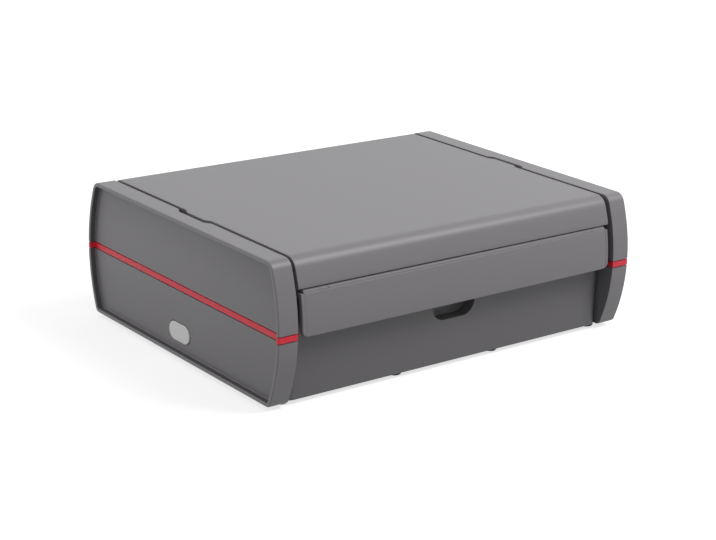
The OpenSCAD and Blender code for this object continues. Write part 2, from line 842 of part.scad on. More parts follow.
// Each wire is soldered to the end of a pin and lies on the board's inner face
module inlet_wires() {
    x = -board_x + board_t + wire_r;
    color([0.1, 0.2, 0.6]) for (s = [-1, 1])
        wire([x, inlet_y + s * pin_pitch / 2, z_inlet], [x, board_y[0] + 5, z_inlet + s * 8], wire_r);
}

// Each wire runs from the board to the edge of the heating element
module heater_wires() {
    color([0.7, 0.1, 0.1]) for (y = [board_y[0] + 20, board_y[0] + 34])
        wire([-board_x + board_t, y, z_plate - element_t / 2], [floor_a[0] + 3, y, z_plate - element_t / 2],
            element_t / 2);
}

// ---- Lid ----

// Side view of the lid: bulging outside, stepped in over the flap's hinge and the tub's rear edge
module lid_side() {
    z = z_step + lid_step_r;
    y = -edge_y(z, shell_set + lid_step_r);
    lean = asin((z - z_mid) / (bow_r - shell_set - lid_step_r));
    difference() {
        barrel(shell_set, z_deck + part_gap, z_top, lid_r);
        box2([-far, 0], [y_lip, z_step]);
        polygon(concat([[y - 9, z_step - 1], [y - 9, z + lid_step_r * sin(lean)]],
            [for (k = [0 : 4]) let(a = 180 - lean + (90 + lean) * k / 4)
                [y + lid_step_r * cos(a), z + lid_step_r * sin(a)]], [[y, z_step - 1]]));
        box2([y_trough + 0.5 - eps, 0], [far, z_hinge]);
    }
    translate([y_hinge, z_hinge]) circle(hinge_r);
}

// Side view of the space inside the lid
module lid_space() {
    intersection() {
        barrel(shell_set + lid_wall, 0, z_top - lid_wall, lid_r - lid_wall);
        union() {
            box2([y_lip + lid_wall, 0], [y_trough + 0.5 - lid_wall, z_top]);
            box2([-far, z_step + lid_wall], [far, z_top]);
        }
        box2([-far, 0], [far, z_top]);
        difference() {
            box2([-far, 0], [far, z_top]);
            translate([y_hinge, z_hinge]) circle(hinge_r + 0.4);
        }
    }
}

lid_boss_y = [y_lip + lid_wall + 3.2, y_trough + 0.5 - lid_wall - 4];
lid_boss_x = [-1, 0, 1] * (x_lid - lid_screw_set);
z_lid_top = z_lid_liner + lid_liner_t;

module lid_shell() {
    color(GREY) difference() {
        union() {
            difference() {
                intersection() {
                    along_x(-x_lid, x_lid) lid_side();
                    along_y(-far, far) {
                        box2([-x_lid, 0], [x_lid, z_top - lid_edge_r]);
                        box2([-x_lid + lid_edge_r, 0], [x_lid - lid_edge_r, z_top]);
                        for (s = [-1, 1]) translate([s * (x_lid - lid_edge_r), z_top - lid_edge_r])
                            circle(lid_edge_r);
                    }
                }
                along_x(-x_lid + lid_wall, x_lid - lid_wall) lid_space();
            }
            both_sides() along_z(z_deck + part_gap, z_top) difference() {
                tab_plan(x_lid + tab_out, 0);
                box2([0, -far], [x_lid - lid_wall, far]);
            }
            both_sides() along_x(knuckle_x - knuckle_w / 2, knuckle_x + knuckle_w / 2) {
                translate([y_flap, z_flap]) circle(knuckle_r);
                box2([y_flap + 0.5, z_flap - 1.4], [y_lip + eps, z_flap + 1.4]);
            }
            for (x = lid_boss_x, y = lid_boss_y) translate([x, y, z_lid_top])
                cylinder(r = 3, h = z_top - lid_wall - z_lid_top + eps);
        }
        both_sides() translate([x_lid - pin_in - 0.5, y_hinge, z_hinge]) rotate([0, 90, 0])
            cylinder(r = pin_r + run_fit, h = pin_in + 10);
        both_sides() translate([knuckle_x - knuckle_w, y_flap, z_flap]) rotate([0, 90, 0])
            cylinder(r = rod_r + seat_fit, h = 2 * knuckle_w);
        for (x = lid_boss_x, y = lid_boss_y) translate([x, y, z_lid_top - 1])
            cylinder(r = pilot_r, h = 11);
    }
}

module seal_ring(w) {
    m = (flange_w - w) / 2;
    difference() {
        round_box2(cav_a - [m + w, m + w], cav_b + [m + w, m + w], cavity_r + m + w);
        round_box2(cav_a - [m, m], cav_b + [m, m], cavity_r + m);
    }
}

module lid_liner() {
    color([0.3, 0.3, 0.31]) difference() {
        along_z(z_lid_liner, z_lid_top)
            box2([-x_lid + lid_wall + 0.2, y_lip + lid_wall + 0.2],
                [x_lid - lid_wall - 0.2, y_trough + 0.5 - lid_wall - 0.2]);
        along_z(z_lid_liner - 1, z_lid_liner + 1.2) seal_ring(seal_w);
        for (x = lid_boss_x, y = lid_boss_y) translate([x, y, z_lid_liner - 1])
            cylinder(r = hole_r, h = 5);
    }
}

module lid_seal() {
    color([0.6, 0.6, 0.62]) along_z(z_seal, z_lid_liner + 1.2) seal_ring(seal_w - 0.1);
}

module lid_insulation() {
    m = lid_pad_side;
    color([0.92, 0.9, 0.82]) along_z(z_lid_top, z_top - lid_wall - lid_pad_room)
        box2([-x_lid + lid_wall + m, lid_boss_y[0] + m], [x_lid - lid_wall - m, lid_boss_y[1] - m]);
}

module lid_screws() {
    color("silver") for (x = lid_boss_x, y = lid_boss_y) translate([x, y, z_lid_liner])
        screw(pilot_r - seat_fit, lid_liner_t + lid_screw_l, head_r - 0.4, head_h - 0.3);
}

// ---- Flap ----

module flap_rod() {
    color("silver") translate([-x_rod, y_flap, z_flap]) rotate([0, 90, 0]) cylinder(r = rod_r, h = 2 * x_rod);
}

module front_flap() {
    color(GREY) difference() {
        union() {
            intersection() {
                along_x(-x_flap, x_flap) {
                    difference() {
                        barrel(shell_set, z_flap_low - eps, z_flap + flap_ledge, 0, flap_edge_r);
                        barrel(shell_set + flap_t, 0, z_top + 9);
                        box2([0, 0], [far, far]);
                    }
                    translate([y_flap, z_flap]) rotate(215) circle(flap_r);
                }
                along_y(-far, 0) {
                    box2([-x_flap + end_notch, z_flap_low + flap_corner], [x_flap - end_notch, far]);
                    box2([-x_flap, z_flap_low + flap_corner], [x_flap, z_flap + flap_ledge]);
                    round_box2([-x_flap, z_flap_low], [x_flap, z_flap_low + 3 * flap_corner], flap_corner);
                }
            }
            both_sides() along_x(catch_x - catch_w / 2 + 1, catch_x + catch_w / 2 - 1)
                intersection() {
                    box2([-far, z_catch - catch_gap - hook_t], [y_hook, z_catch - catch_gap]);
                    barrel(shell_set + flap_t / 2, 0, z_top);
                }
        }
        translate([-far, y_flap, z_flap]) rotate([0, 90, 0]) cylinder(r = rod_r + run_fit, h = 2 * far);
        both_sides() along_x(knuckle_x - knuckle_w / 2 - knuckle_gap, knuckle_x + knuckle_w / 2 + knuckle_gap) {
            translate([y_flap, z_flap]) circle(max(knuckle_r + knuckle_gap, flap_r + 0.05));
            box2([y_flap, z_flap - flap_r - 0.4], [far, far]);
        }
    }
}

base_shell();
deck_frame();
cavity_liner();
heater_plate();
heater_element();
heater_insulation();
thermostat();
thermal_fuse();
control_board();
board_parts();
power_inlet();
inlet_pins();
inlet_stopper();
inlet_wires();
heater_wires();
rubber_feet();
deck_screws();
cheek_screws();
left_cheek();
right_cheek();
left_stripe();
right_stripe();
hinge_pins();
food_dish();
dish_lid();
dish_seal();
lid_shell();
lid_liner();
lid_insulation();
lid_seal();
lid_screws();
flap_rod();
front_flap();
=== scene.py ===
import json
import math

import bmesh
import bpy
from mathutils import Matrix, Vector


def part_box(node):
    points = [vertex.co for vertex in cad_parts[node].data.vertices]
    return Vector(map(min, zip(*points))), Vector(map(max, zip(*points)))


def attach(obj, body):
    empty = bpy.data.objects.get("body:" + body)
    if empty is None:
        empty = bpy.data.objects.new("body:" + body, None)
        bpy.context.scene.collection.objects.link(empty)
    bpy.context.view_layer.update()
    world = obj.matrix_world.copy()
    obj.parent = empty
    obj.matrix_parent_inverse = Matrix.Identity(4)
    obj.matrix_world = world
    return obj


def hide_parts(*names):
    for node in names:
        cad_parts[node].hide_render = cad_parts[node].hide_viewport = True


bl_info = {
    "name": "Electric lunch box",
    "version": (1, 0, 0),
    "blender": (4, 5, 0),
    "location": "3D Viewport > Sidebar > Lunch box",
    "description": "Heated lunch box with striped side cheeks, a hinged lid and a latch flap",
    "category": "Add Mesh",
}

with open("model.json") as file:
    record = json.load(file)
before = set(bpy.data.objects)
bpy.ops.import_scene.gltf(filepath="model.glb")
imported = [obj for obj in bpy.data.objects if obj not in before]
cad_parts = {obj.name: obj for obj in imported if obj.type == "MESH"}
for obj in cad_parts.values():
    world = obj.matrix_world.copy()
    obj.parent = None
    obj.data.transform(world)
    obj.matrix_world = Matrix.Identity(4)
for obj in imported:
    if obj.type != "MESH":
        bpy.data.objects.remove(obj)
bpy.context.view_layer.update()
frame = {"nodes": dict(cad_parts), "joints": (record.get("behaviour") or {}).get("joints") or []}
MM = 0.001


def in_mm(box):
    """A box's lowest and highest corners, in millimetres."""
    return [[c / MM for c in corner] for corner in box]


CHEEK_LOW, CHEEK_HIGH = in_mm(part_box("right_cheek"))
LID_LOW, LID_HIGH = in_mm(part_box("lid_shell"))
FLAP_LOW, FLAP_HIGH = in_mm(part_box("front_flap"))
STRIPE_LOW, STRIPE_HIGH = in_mm(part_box("right_stripe"))
INLET_LOW, INLET_HIGH = in_mm(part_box("power_inlet"))
Z_DECK = in_mm(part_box("deck_frame"))[1][2]


def joint_point(name):
    """The axis point of a joint, in millimetres."""
    for joint in frame["joints"]:
        if joint["name"] == name:
            return [1000 * v for v in joint["pos_m"]]
    raise ValueError(f"no joint is called {name}")


LID_AXIS = joint_point("lid_hinge")
FLAP_AXIS = joint_point("flap_hinge")
FLAP_CORNER = 4.0  # radius of the flap's lower corners


def number(name, default, description, **kind):
    """A number with a unit or subtype."""
    return bpy.props.FloatProperty(name=name, default=default, description=description, **kind)


def length(name, default, description):
    """A size in millimetres, kept in metres as Blender wants it."""
    return number(name, default * MM, description, subtype="DISTANCE", unit="LENGTH", precision=5)


def colour(name, default, description):
    """A linear colour with a picker."""
    return bpy.props.FloatVectorProperty(
        name=name, default=default, description=description, subtype="COLOR", size=3, min=0.0, max=1.0
    )


def share(name, default, description):
    """A number from 0 to 1."""
    return number(name, default, description, subtype="FACTOR", min=0.0, max=1.0)


class LunchBoxSizes(bpy.types.PropertyGroup):
    """Sizes of the visible mouldings."""

    bulge: length("Bulge", 8.6, "How far the front and rear edges bow out past their ends")
    top_round: length("Top corner", 6.5, "Radius of the cheeks' upper corners in side view")
    low_round: length("Lower corner", 3.5, "Radius of the cheeks' lower corners in side view")
    edge_round: length("Edge rounding", 0.75, "Rounding of the cheeks' outer edges")
    inner_edge: length("Inner edge", 0.3, "Rounding of the cheeks' inner edges")
    cheek_in: length("Cheek overhang", 0.45, "How far a cheek reaches in over the tub")
    rim: length("Rim", 2.4, "Width of the rim round a cheek's recess")
    recess: length("Recess", 3.5, "Depth of the recess in a cheek")
    lid_round: length("Lid rounding", 8.7, "Radius of the lid's upper front edge")
    lid_rear: length("Lid rear rounding", 6.2, "Radius of the lid's upper rear edge")
    lid_edge: length("Lid edge", 0.3, "Rounding of the lid's side edges")
    shell_set: length("Set-back", 0.8, "How far lid and flap stand inside the cheeks' outline")
    tab_length: length("Tab", 18.0, "Length of the straight edge of the lid's side tabs")
    tab_slant: length("Tab slant", 5.0, "Length of a tab's slanted ends")
    lid_gap: length("Lid gap", 3.0, "Gap between the lid and a cheek")
    lid_wall: length("Lid wall", 2.4, "Wall of the lid")
    flap_thick: length("Flap", 3.0, "Thickness of the latch flap")
    flap_roll: length("Flap roll", 2.3, "Radius of the flap's rolled upper edge")
    flap_axis: length("Flap axis", 2.6, "Distance of the flap's axis behind its face")
    flap_ledge: length("Flap ledge", 0.3, "Height of the face's upper edge above the axis")
    flap_edge: length("Flap edge", 0.7, "Rounding of the flap's ends and lower edge")
    hinge_roll: length("Hinge roll", 3.8, "Radius of the lid's rolled rear edge")
    cheek_drop: length("Cheek drop", 0.4, "How far the cheeks' lower edge reaches below the tub's seat")
    tub_drop: length("Tub drop", 0.5, "How far the tub's lower edge reaches down round the feet")
    tub_front: length("Tub front", 94.0, "Distance of the tub's front wall from the middle")
    tub_wall: length("Tub wall", 2.2, "Wall of the tub")
    tub_round: length("Tub corner", 6.5, "Radius of the tub's front corners in plan")
    sill_round: length("Sill", 1.3, "Rounding along the tub's lower edges")
    finger_width: length("Finger cut-out", 32.0, "Width of the cut-out under the flap")
    finger_low: length("Cut-out height", 29.9, "Height of the cut-out's lower edge above the floor")
    finger_high: length("Cut-out top", 48.5, "Height of the cut-out's hidden upper edge")
    finger_depth: length("Cut-out depth", 8.5, "Depth of the pocket behind the cut-out")
    finger_round: length("Cut-out corner", 9.0, "Radius of the cut-out's lower corners")
    stripe_thick: length("Stripe", 1.0, "Thickness of the red stripe")
    stripe_drop: length("Stripe drop", 0.6, "How far the stripe's middle lies below the cheek's middle")
    stripe_leg: length("Stripe leg", 6.0, "Length of the stripe on a cheek's inner face")
    seam: length("Seam", 0.65, "Width of the seam beside the stripe")
    step_round: length("Lid step", 0.6, "Rounding of the lid's lower front edge")
    end_notch: length("End notch", 2.2, "Width of the notch at each end of the flap's upper edge")
    knuckle_place: length("Knuckle", 100.0, "Distance of the lid's knuckles from the middle")
    knuckle_width: length("Knuckle width", 6.0, "Width of a knuckle")
    knuckle_round: length("Knuckle radius", 2.28, "Radius of a knuckle")
    knuckle_gap: length("Knuckle gap", 0.06, "Gap between a knuckle and the flap's roll")
    latch_place: length("Latch place", 60.0, "Distance of hooks and catches from the middle")
    hook_width: length("Hook width", 26.0, "Width of a hook inside the flap")
    hook_drop: length("Hook drop", 18.3, "How far a hook's upper face lies below the flap's axis")
    catch_width: length("Catch width", 28.0, "Width of a catch on the tub")
    catch_drop: length("Catch drop", 18.0, "How far a catch's lower face lies below the flap's axis")
    inlet_seam: length("Inlet seam", 1.4, "Depth of the seam round the inlet's stopper")
    cover_border: length("Cover border", 11.0, "Width of the dish cover's flat border")
    cover_press: length("Cover panel", 0.8, "Depth of the panel pressed into the dish cover")
    cover_corner: length("Cover corner", 15.0, "Corner radius of that panel")
    vent_round: length("Vent", 8.0, "Radius of the steam vent in the dish cover")


class SizesInMm:
    """The sizes in millimetres, in which the mouldings are worked out."""

    def __init__(self, context):
        for name in LunchBoxSizes.__annotations__:
            setattr(self, name, getattr(context.scene.lunch_sizes, name) / MM)


class LunchBoxFinish(bpy.types.PropertyGroup):
    """Colours and gloss of the materials."""

    grey: colour("Housing grey", (0.260, 0.2495, 0.2635), "Colour of the moulded housing")
    grey_rough: share("Housing roughness", 0.37, "Roughness of the moulded housing")
    # Painted shade: how dark the sunk panel is painted near its rim.
    painted_rim_darkening: share("Rim shade", 0.74, "Brightness of the sunk panel beside its rim")
    # Painted shade on the cheeks' inner walls, seen in the gaps beside lid and tub.
    inner_wall_painted_darkening: share("Gap shade", 0.66, "Brightness of the cheeks' inner walls")
    # Painted shade on the walls of the cheeks' recesses.
    recess_wall_painted_darkening: share("Wall shade", 0.42, "Brightness of the recess's walls beside the rest of the housing")
    # Painted shade: the tub's grey is darkened for the shade under the flap and between the cheeks.
    tub_painted_darkening: share("Tub shade", 0.64, "Brightness of the tub beside the rest of the housing")
    red: colour("Stripe red", (0.97, 0.026, 0.058), "Colour of the stripes")
    steel: colour("Steel", (0.60, 0.60, 0.61), "Colour of the dish")
    alloy: colour("Alloy", (0.56, 0.565, 0.575), "Colour of the cavity liner")
    white: colour("Inlet white", (0.97, 0.97, 0.965), "Colour of the mains inlet")
    rubber: colour("Rubber", (0.012, 0.012, 0.013), "Colour of the feet")
    milky: colour("Dish lid", (0.70, 0.72, 0.74), "Colour of the dish's lid")


class LunchBoxStage(bpy.types.PropertyGroup):
    """Floor, lamps and camera."""

    floor: colour("Floor", (0.68, 0.68, 0.68), "Colour of the floor")
    glow: share("Floor glow", 0.70, "Brightness that the floor adds where it is seen directly")
    bounce: share("Floor bounce", 0.36, "Share of its colour with which the floor lights the box")
    sky: share("Sky", 0.36, "Brightness of the surrounding light")
    key: number("Overhead lamp", 12.1, "Power of the lamp", unit="POWER")
    fill: number("Side lamp", 4.8, "Power of the side lamp", unit="POWER")
    lens: number("Lens", 90.74, "Focal length", unit="CAMERA")
    eye: bpy.props.FloatVectorProperty(
        name="Eye",
        default=(-0.65694, -0.85298, 0.38383),
        description="Where the camera stands",
        subtype="XYZ",
    )
    yaw: number("Yaw", 0.65682, "Turn to the right", subtype="ANGLE")
    pitch: number("Pitch", 0.31463, "Tilt downwards", subtype="ANGLE")
    roll: number("Roll", 0.0288, "Roll of the view", subtype="ANGLE")


# ---------------------------------------------------------------- shader maths


class Socket:
    """A node's output that takes part in arithmetic."""

    def __init__(self, maker, socket):
        self.maker = maker
        self.socket = socket

    def math(self, operation, *values):
        return self.maker.node("ShaderNodeMath", {"operation": operation}, values)

    def __add__(self, other):
        return self.math("ADD", self, other)

    __radd__ = __add__

    def __sub__(self, other):
        return self.math("SUBTRACT", self, other)

    def __rsub__(self, other):
        return self.math("SUBTRACT", other, self)

    def __mul__(self, other):
        return self.math("MULTIPLY", self, other)

    __rmul__ = __mul__

    def clamp(self):
        return self.maker.node("ShaderNodeClamp", {}, [self])


class Surface:
    """A material under construction, with its Principled shader."""

    def __init__(self, name, colour, constants=None):
        self.material = bpy.data.materials.new(name)
        self.material.use_nodes = True
        self.tree = self.material.node_tree
        self.shader = self.tree.nodes["Principled BSDF"]
        self.shader.inputs["Base Color"].default_value = (*colour, 1.0)
        self.material.diffuse_color = (*colour, 1.0)
        for key, value in (constants or {}).items():
            self.shader.inputs[key].default_value = value

    @classmethod
    def of_tree(cls, tree):
        """The same helpers on a tree that has no Principled shader."""
        made = cls.__new__(cls)
        made.tree = tree
        return made

    def node(self, kind, settings=None, inputs=None, output=0):
        """Adds a node: its settings first, then the values or links of its sockets."""
        made = self.tree.nodes.new(kind)
        for key, value in (settings or {}).items():
            setattr(made, key, value)
        pairs = inputs.items() if isinstance(inputs, dict) else enumerate(inputs or [])
        for key, value in pairs:
            self.feed(made.inputs[key], value)
        return Socket(self, made.outputs[output])

    def feed(self, target, value):
        if isinstance(value, Socket):
            self.tree.links.new(value.socket, target)
        else:
            target.default_value = value

    def place(self):
        """Position on the piece, in its own frame."""
        return self.node("ShaderNodeTexCoord", output="Object")

    def noise(self, scale, detail=2.0, rough=0.5, place=None):
        inputs = {"Vector": place or self.place(), "Scale": scale, "Detail": detail, "Roughness": rough}
        return self.node("ShaderNodeTexNoise", {}, inputs)

    def stretched(self, x, y, z):
        """Position scaled by axis, for grain that runs one way."""
        return self.node("ShaderNodeVectorMath", {"operation": "MULTIPLY"}, [self.place(), (x, y, z)])

    def parts(self):
        """The X, Y and Z of the position."""
        split = self.node("ShaderNodeSeparateXYZ", {}, [self.place()])
        return [Socket(self, out) for out in split.socket.node.outputs]

    def blend(self, first, second, factor):
        """A colour between two colours."""
        ends = [value if isinstance(value, Socket) else (*value, 1.0) for value in (first, second)]
        inputs = {"Factor": factor, 6: ends[0], 7: ends[1]}
        return self.node("ShaderNodeMix", {"data_type": "RGBA"}, inputs, 2)

    def set(self, name, value):
        self.feed(self.shader.inputs[name], value)
        return self

    def bump(self, height, depth, strength=1.0):
        """Relief of the given height, depth in metres."""
        inputs = {"Height": height, "Distance": depth, "Strength": strength}
        return self.set("Normal", self.node("ShaderNodeBump", {}, inputs))


def tint(base, factor):
    """A colour made lighter or darker."""
    return tuple(min(1.0, c * factor) for c in base)


def rise(value, start, slope):
    """0 up to the start, then rising to 1."""
    return ((value - start) * slope).clamp()


# ---------------------------------------------------------------- finishes

MATERIALS = {}


def material(name):
    """The material of that name, made when first asked for."""
    if name not in MATERIALS:
        MATERIALS[name] = RECIPES[name](name, bpy.context.scene.lunch_finish)
    return MATERIALS[name]


def grained(name, base, rough, mask=None, dark=1.0, dull=0.0):
    """The housing's plastic with a fine eroded grain; where the mask is 1, painted shade darkens it and it is
    duller.
    """
    s = Surface(name, base, {"IOR": 1.46})
    cloud = s.noise(14.0, 3.0)
    grain = s.noise(2600.0, 2.0, 0.6)
    face = s.blend(tint(base, 0.965), tint(base, 1.035), cloud)
    gloss = rough + 0.05 * cloud + 0.05 * grain
    if mask:
        where = mask(s)
        face = s.blend(face, tint(base, dark), where)
        gloss = gloss + dull * where if dull else gloss
    s.set("Base Color", face)
    s.set("Roughness", gloss)
    return s.bump(grain, 0.00003, 0.5).material


def painted_shade_near_rim(s):
    """1 near the sunk panel's upper, lower and front rim, where painted shade darkens it."""
    y, z = s.parts()[1:]
    return (0.6 * rise(z, 0.062, 50.0) + 0.5 * rise(z, 0.04, -28.0) + 0.4 * rise(y, -0.02, -14.0)).clamp()


def painted_shade_on_roll(s):
    """1 on the flap's roll, which turns under the lid, where painted shade darkens it."""
    return rise(s.parts()[2], (FLAP_AXIS[2] + 0.45) * MM, 4000.0)


def moulded(base, cloud, tones, rough, relief, constants):
    """A recipe for plastic or rubber: clouded colour and gloss over a fine relief."""

    def build(name, finish):
        tone = base(finish)
        s = Surface(name, tone, constants)
        mask = s.noise(*cloud)
        s.set("Base Color", s.blend(tint(tone, tones[0]), tint(tone, tones[1]), mask))
        s.set("Roughness", rough[0] + rough[1] * mask)
        scale, detail, depth, strength = relief
        return s.bump(s.noise(scale, detail), depth, strength).material

    return build


def painted_shade_recipe(shade):
    """A recipe for the housing's plastic on steep walls, darkened by the named share as painted shade, and
    rougher.
    """
    relief = (2200.0, 2.0, 0.00003, 0.5)
    return moulded(
        lambda f: tint(f.grey, getattr(f, shade)), (60.0, 3.0), (0.92, 1.1), (0.6, 0.1), relief, {"IOR": 1.46}
    )


def plain(base, rough):
    """A recipe for a simple moulded or coated piece."""
    relief = (900.0, 3.0, 0.00003, 0.5)
    return moulded(lambda f: base, (45.0, 3.0), (0.9, 1.08), (rough - 0.05, 0.12), relief, {"IOR": 1.47})


def brushed(base, rough, *stretch):
    """A recipe for metal with a grain that runs one way."""

    def build(name, finish):
        tone = base(finish)
        s = Surface(name, tone, {"Metallic": 1.0})
        streak = s.noise(1.0, 4.0, 0.6, s.stretched(*stretch))
        cloud = s.noise(18.0, 3.0)
        s.set("Base Color", s.blend(tint(tone, 0.9), tint(tone, 1.06), streak))
        s.set("Roughness", rough - 0.05 + 0.12 * streak + 0.05 * cloud)
        return s.bump(streak, 0.00001, 0.5).material

    return build


def pad_felt(name, finish):
    """Fibre filling."""
    base = (0.72, 0.69, 0.58)
    s = Surface(name, base)
    fibre = s.noise(700.0, 6.0, 0.7)
    s.set("Base Color", s.blend(tint(base, 0.78), tint(base, 1.08), fibre))
    s.set("Roughness", 0.85 + 0.1 * fibre)
    return s.bump(fibre, 0.0004, 0.7).material


def board_green(name, finish):
    """Coated circuit board with faint traces."""
    base = (0.012, 0.10, 0.035)
    s = Surface(name, base, {"Coat Weight": 0.4, "Coat Roughness": 0.2})
    inputs = {"Vector": s.stretched(0.0, 1.0, 1.0), "Scale": 160.0, "Mortar Size": 0.05}
    weave = s.node("ShaderNodeTexBrick", {"offset": 0.5}, inputs, "Fac")
    s.set("Base Color", s.blend(base, (0.03, 0.19, 0.07), weave))
    s.set("Roughness", 0.4 - 0.1 * weave)
    return s.bump(weave, 0.00003, 0.5).material


def heating_film(name, finish):
    """Amber film with an etched track."""
    base = (0.42, 0.17, 0.03)
    s = Surface(name, base, {"Coat Weight": 0.5, "Coat Roughness": 0.15})
    settings = {"wave_type": "BANDS", "bands_direction": "X"}
    track = s.node("ShaderNodeTexWave", settings, {"Vector": s.place(), "Scale": 40.0, "Distortion": 0.4})
    s.set("Base Color", s.blend(base, (0.20, 0.13, 0.09), track))
    s.set("Roughness", 0.35 + 0.1 * track)
    return s.bump(track, 0.00004, 0.4).material


SILICONE = {"IOR": 1.46, "Coat Weight": 0.6, "Coat Roughness": 0.2}
MILKY = {"IOR": 1.49, "Subsurface Weight": 0.15, "Subsurface Radius": (0.004, 0.004, 0.004)}

RECIPES = {
    "housing_grey": lambda name, f: grained(name, f.grey, f.grey_rough - 0.03),
    # Painted shade: the sunk panel darkens near its rim.
    "panel_grey": lambda name, f: grained(name, f.grey, f.grey_rough, painted_shade_near_rim, f.painted_rim_darkening),
    # Painted shade: the flap's roll under the lid is darker; it is also duller.
    "flap_grey": lambda name, f: grained(name, f.grey, f.grey_rough - 0.03, painted_shade_on_roll, 0.86, 0.15),
    # Painted shade: the tub is a darker copy of the housing grey.
    "tub_grey": lambda name, f: grained(name, tint(f.grey, f.tub_painted_darkening), f.grey_rough + 0.02),
    # Painted shade on the walls of the cheeks' recesses.
    "recess_grey": painted_shade_recipe("recess_wall_painted_darkening"),
    # Painted shade on the cheeks' inner walls.
    "gap_grey": painted_shade_recipe("inner_wall_painted_darkening"),
    # base colour, clouds, their tones, roughness and its spread, relief, fixed values
    "stripe_red": moulded(
        lambda f: f.red, (60.0, 2.0), (0.93, 1.05), (0.36, 0.08), (1800.0, 1.0, 0.00001, 0.4), {"IOR": 1.48}
    ),
    "inlet_white": moulded(
        lambda f: f.white, (90.0, 2.0), (0.97, 1.02), (0.3, 0.08), (1500.0, 1.0, 0.00001, 0.3), {"IOR": 1.5}
    ),
    "stopper_white": moulded(
        lambda f: f.white, (120.0, 3.0), (0.98, 1.03), (0.42, 0.1), (1200.0, 2.0, 0.00002, 0.4), SILICONE
    ),
    "foot_rubber": moulded(
        lambda f: f.rubber, (260.0, 4.0), (0.7, 1.2), (0.72, 0.2), (1600.0, 3.0, 0.00004, 0.6), {"IOR": 1.45}
    ),
    "dish_lid_milky": moulded(
        lambda f: f.milky, (22.0, 3.0), (0.95, 1.03), (0.34, 0.12), (700.0, 2.0, 0.00002, 0.4), MILKY
    ),
    # base colour, roughness, stretch of the grain along x, y and z
    "dish_steel": brushed(lambda f: f.steel, 0.24, 40.0, 1800.0, 300.0),
    "liner_alloy": brushed(lambda f: f.alloy, 0.36, 700.0, 700.0, 60.0),
    "plate_alloy": brushed(lambda f: f.alloy, 0.42, 90.0, 1500.0, 90.0),
    "zinc_steel": brushed(lambda f: tint(f.steel, 0.95), 0.3, 1200.0, 1200.0, 1200.0),
    "pin_brass": brushed(lambda f: (0.62, 0.50, 0.26), 0.26, 300.0, 2000.0, 2000.0),
    "lid_liner_dark": plain((0.075, 0.075, 0.078), 0.46),
    "bakelite_black": plain((0.012, 0.012, 0.012), 0.38),
    "glazed_ceramic": plain((0.66, 0.65, 0.58), 0.25),
    "relay_black": plain((0.018, 0.018, 0.02), 0.45),
    "wire_blue": plain((0.012, 0.04, 0.30), 0.42),
    "wire_red": plain((0.42, 0.012, 0.012), 0.42),
    "seal_red": plain((0.40, 0.030, 0.035), 0.6),
    "seal_grey": plain((0.26, 0.26, 0.27), 0.62),
    "board_green": board_green,
    "heating_film": heating_film,
    "pad_felt": pad_felt,
}


# ---------------------------------------------------------------- outlines


def arc(y, z, r, start, end, steps):
    """Points on an arc with their outward normals, as (y, z, normal y, normal z)."""
    angles = [start + (end - start) * k / steps for k in range(steps + 1)]
    return [(y + r * math.cos(a), z + r * math.sin(a), math.cos(a), math.sin(a)) for a in angles]


def turn(u, v, r, start, end, steps):
    """Points on an arc between two angles in degrees."""
    return [p[:2] for p in arc(u, v, r, math.radians(start), math.radians(end), steps)]


def quarter(steps):
    """Sine and cosine pairs over a quarter turn."""
    return [(math.sin(math.pi / 2 * k / steps), math.cos(math.pi / 2 * k / steps)) for k in range(steps + 1)]


def stadium(wide, tall, steps=16):
    """Outline of a slot with round ends."""
    r = tall / 2
    return turn(wide / 2 - r, 0.0, r, -90, 90, steps) + turn(r - wide / 2, 0.0, r, 90, 270, steps)


def round_rect(wide, deep, r, steps=8):
    """Outline of a rectangle with round corners, about its middle."""
    points = []
    for k, (sx, sy) in enumerate(((1, 1), (-1, 1), (-1, -1), (1, -1))):
        points += turn(sx * (wide / 2 - r), sy * (deep / 2 - r), r, 90 * k, 90 * k + 90, steps)
    return points


def rounded_front(x_half, y_front, y_rear, r, d=0.0, steps=10):
    """Outline with round front corners, set in by d, and square rear ones."""
    points = [(x_half, y_rear), (-x_half, y_rear)]
    points += turn(-x_half + r, y_front + r, r - d, 180, 270, steps)
    return points + turn(x_half - r, y_front + r, r - d, 270, 360, steps)


def barrel(sizes, set_in, low, high, r_top, r_low, top_ys=(), low_ys=()):
    """Closed side outline as (y, z, normal y, normal z), and the span of its points along the top."""
    z_low, z_high = CHEEK_LOW[2], CHEEK_HIGH[2]
    z_mid = (z_low + z_high) / 2
    bow = ((z_high - z_low) ** 2 / 4 + sizes.bulge**2) / (2 * sizes.bulge)
    centre = bow - STRIPE_HIGH[1]
    r = bow - set_in

    def corner(z, rk):
        return math.sqrt((r - rk) ** 2 - (z - z_mid) ** 2) - centre

    zk_top, zk_low = high - r_top, low + r_low
    yk_top, yk_low = corner(zk_top, r_top), corner(zk_low, r_low)
    a_top = math.asin((zk_top - z_mid) / (r - r_top))
    a_low = math.asin((zk_low - z_mid) / (r - r_low))
    half = arc(-centre, z_mid, r, a_low, a_top, 48)
    if r_top > 0:
        half += arc(yk_top, zk_top, r_top, a_top, math.pi / 2, 10)[1:]
    if r_low > 0:
        half = arc(yk_low, zk_low, r_low, -math.pi / 2, a_low, 10)[:-1] + half
    top = [(y, high, 0.0, 1.0) for y in sorted(top_ys, reverse=True) if abs(y) < yk_top - 0.5]
    bottom = [(y, low, 0.0, -1.0) for y in sorted(low_ys) if abs(y) < yk_low - 0.5]
    front = [(-y, z, -ny, nz) for y, z, ny, nz in reversed(half)]
    return half + top + front + bottom, (len(half), len(half) + len(top))


def inset(points, d):
    """The outline moved inwards by d, as (y, z) pairs."""
    return [(y - d * ny, z - d * nz) for y, z, ny, nz in points]


# ---------------------------------------------------------------- meshes


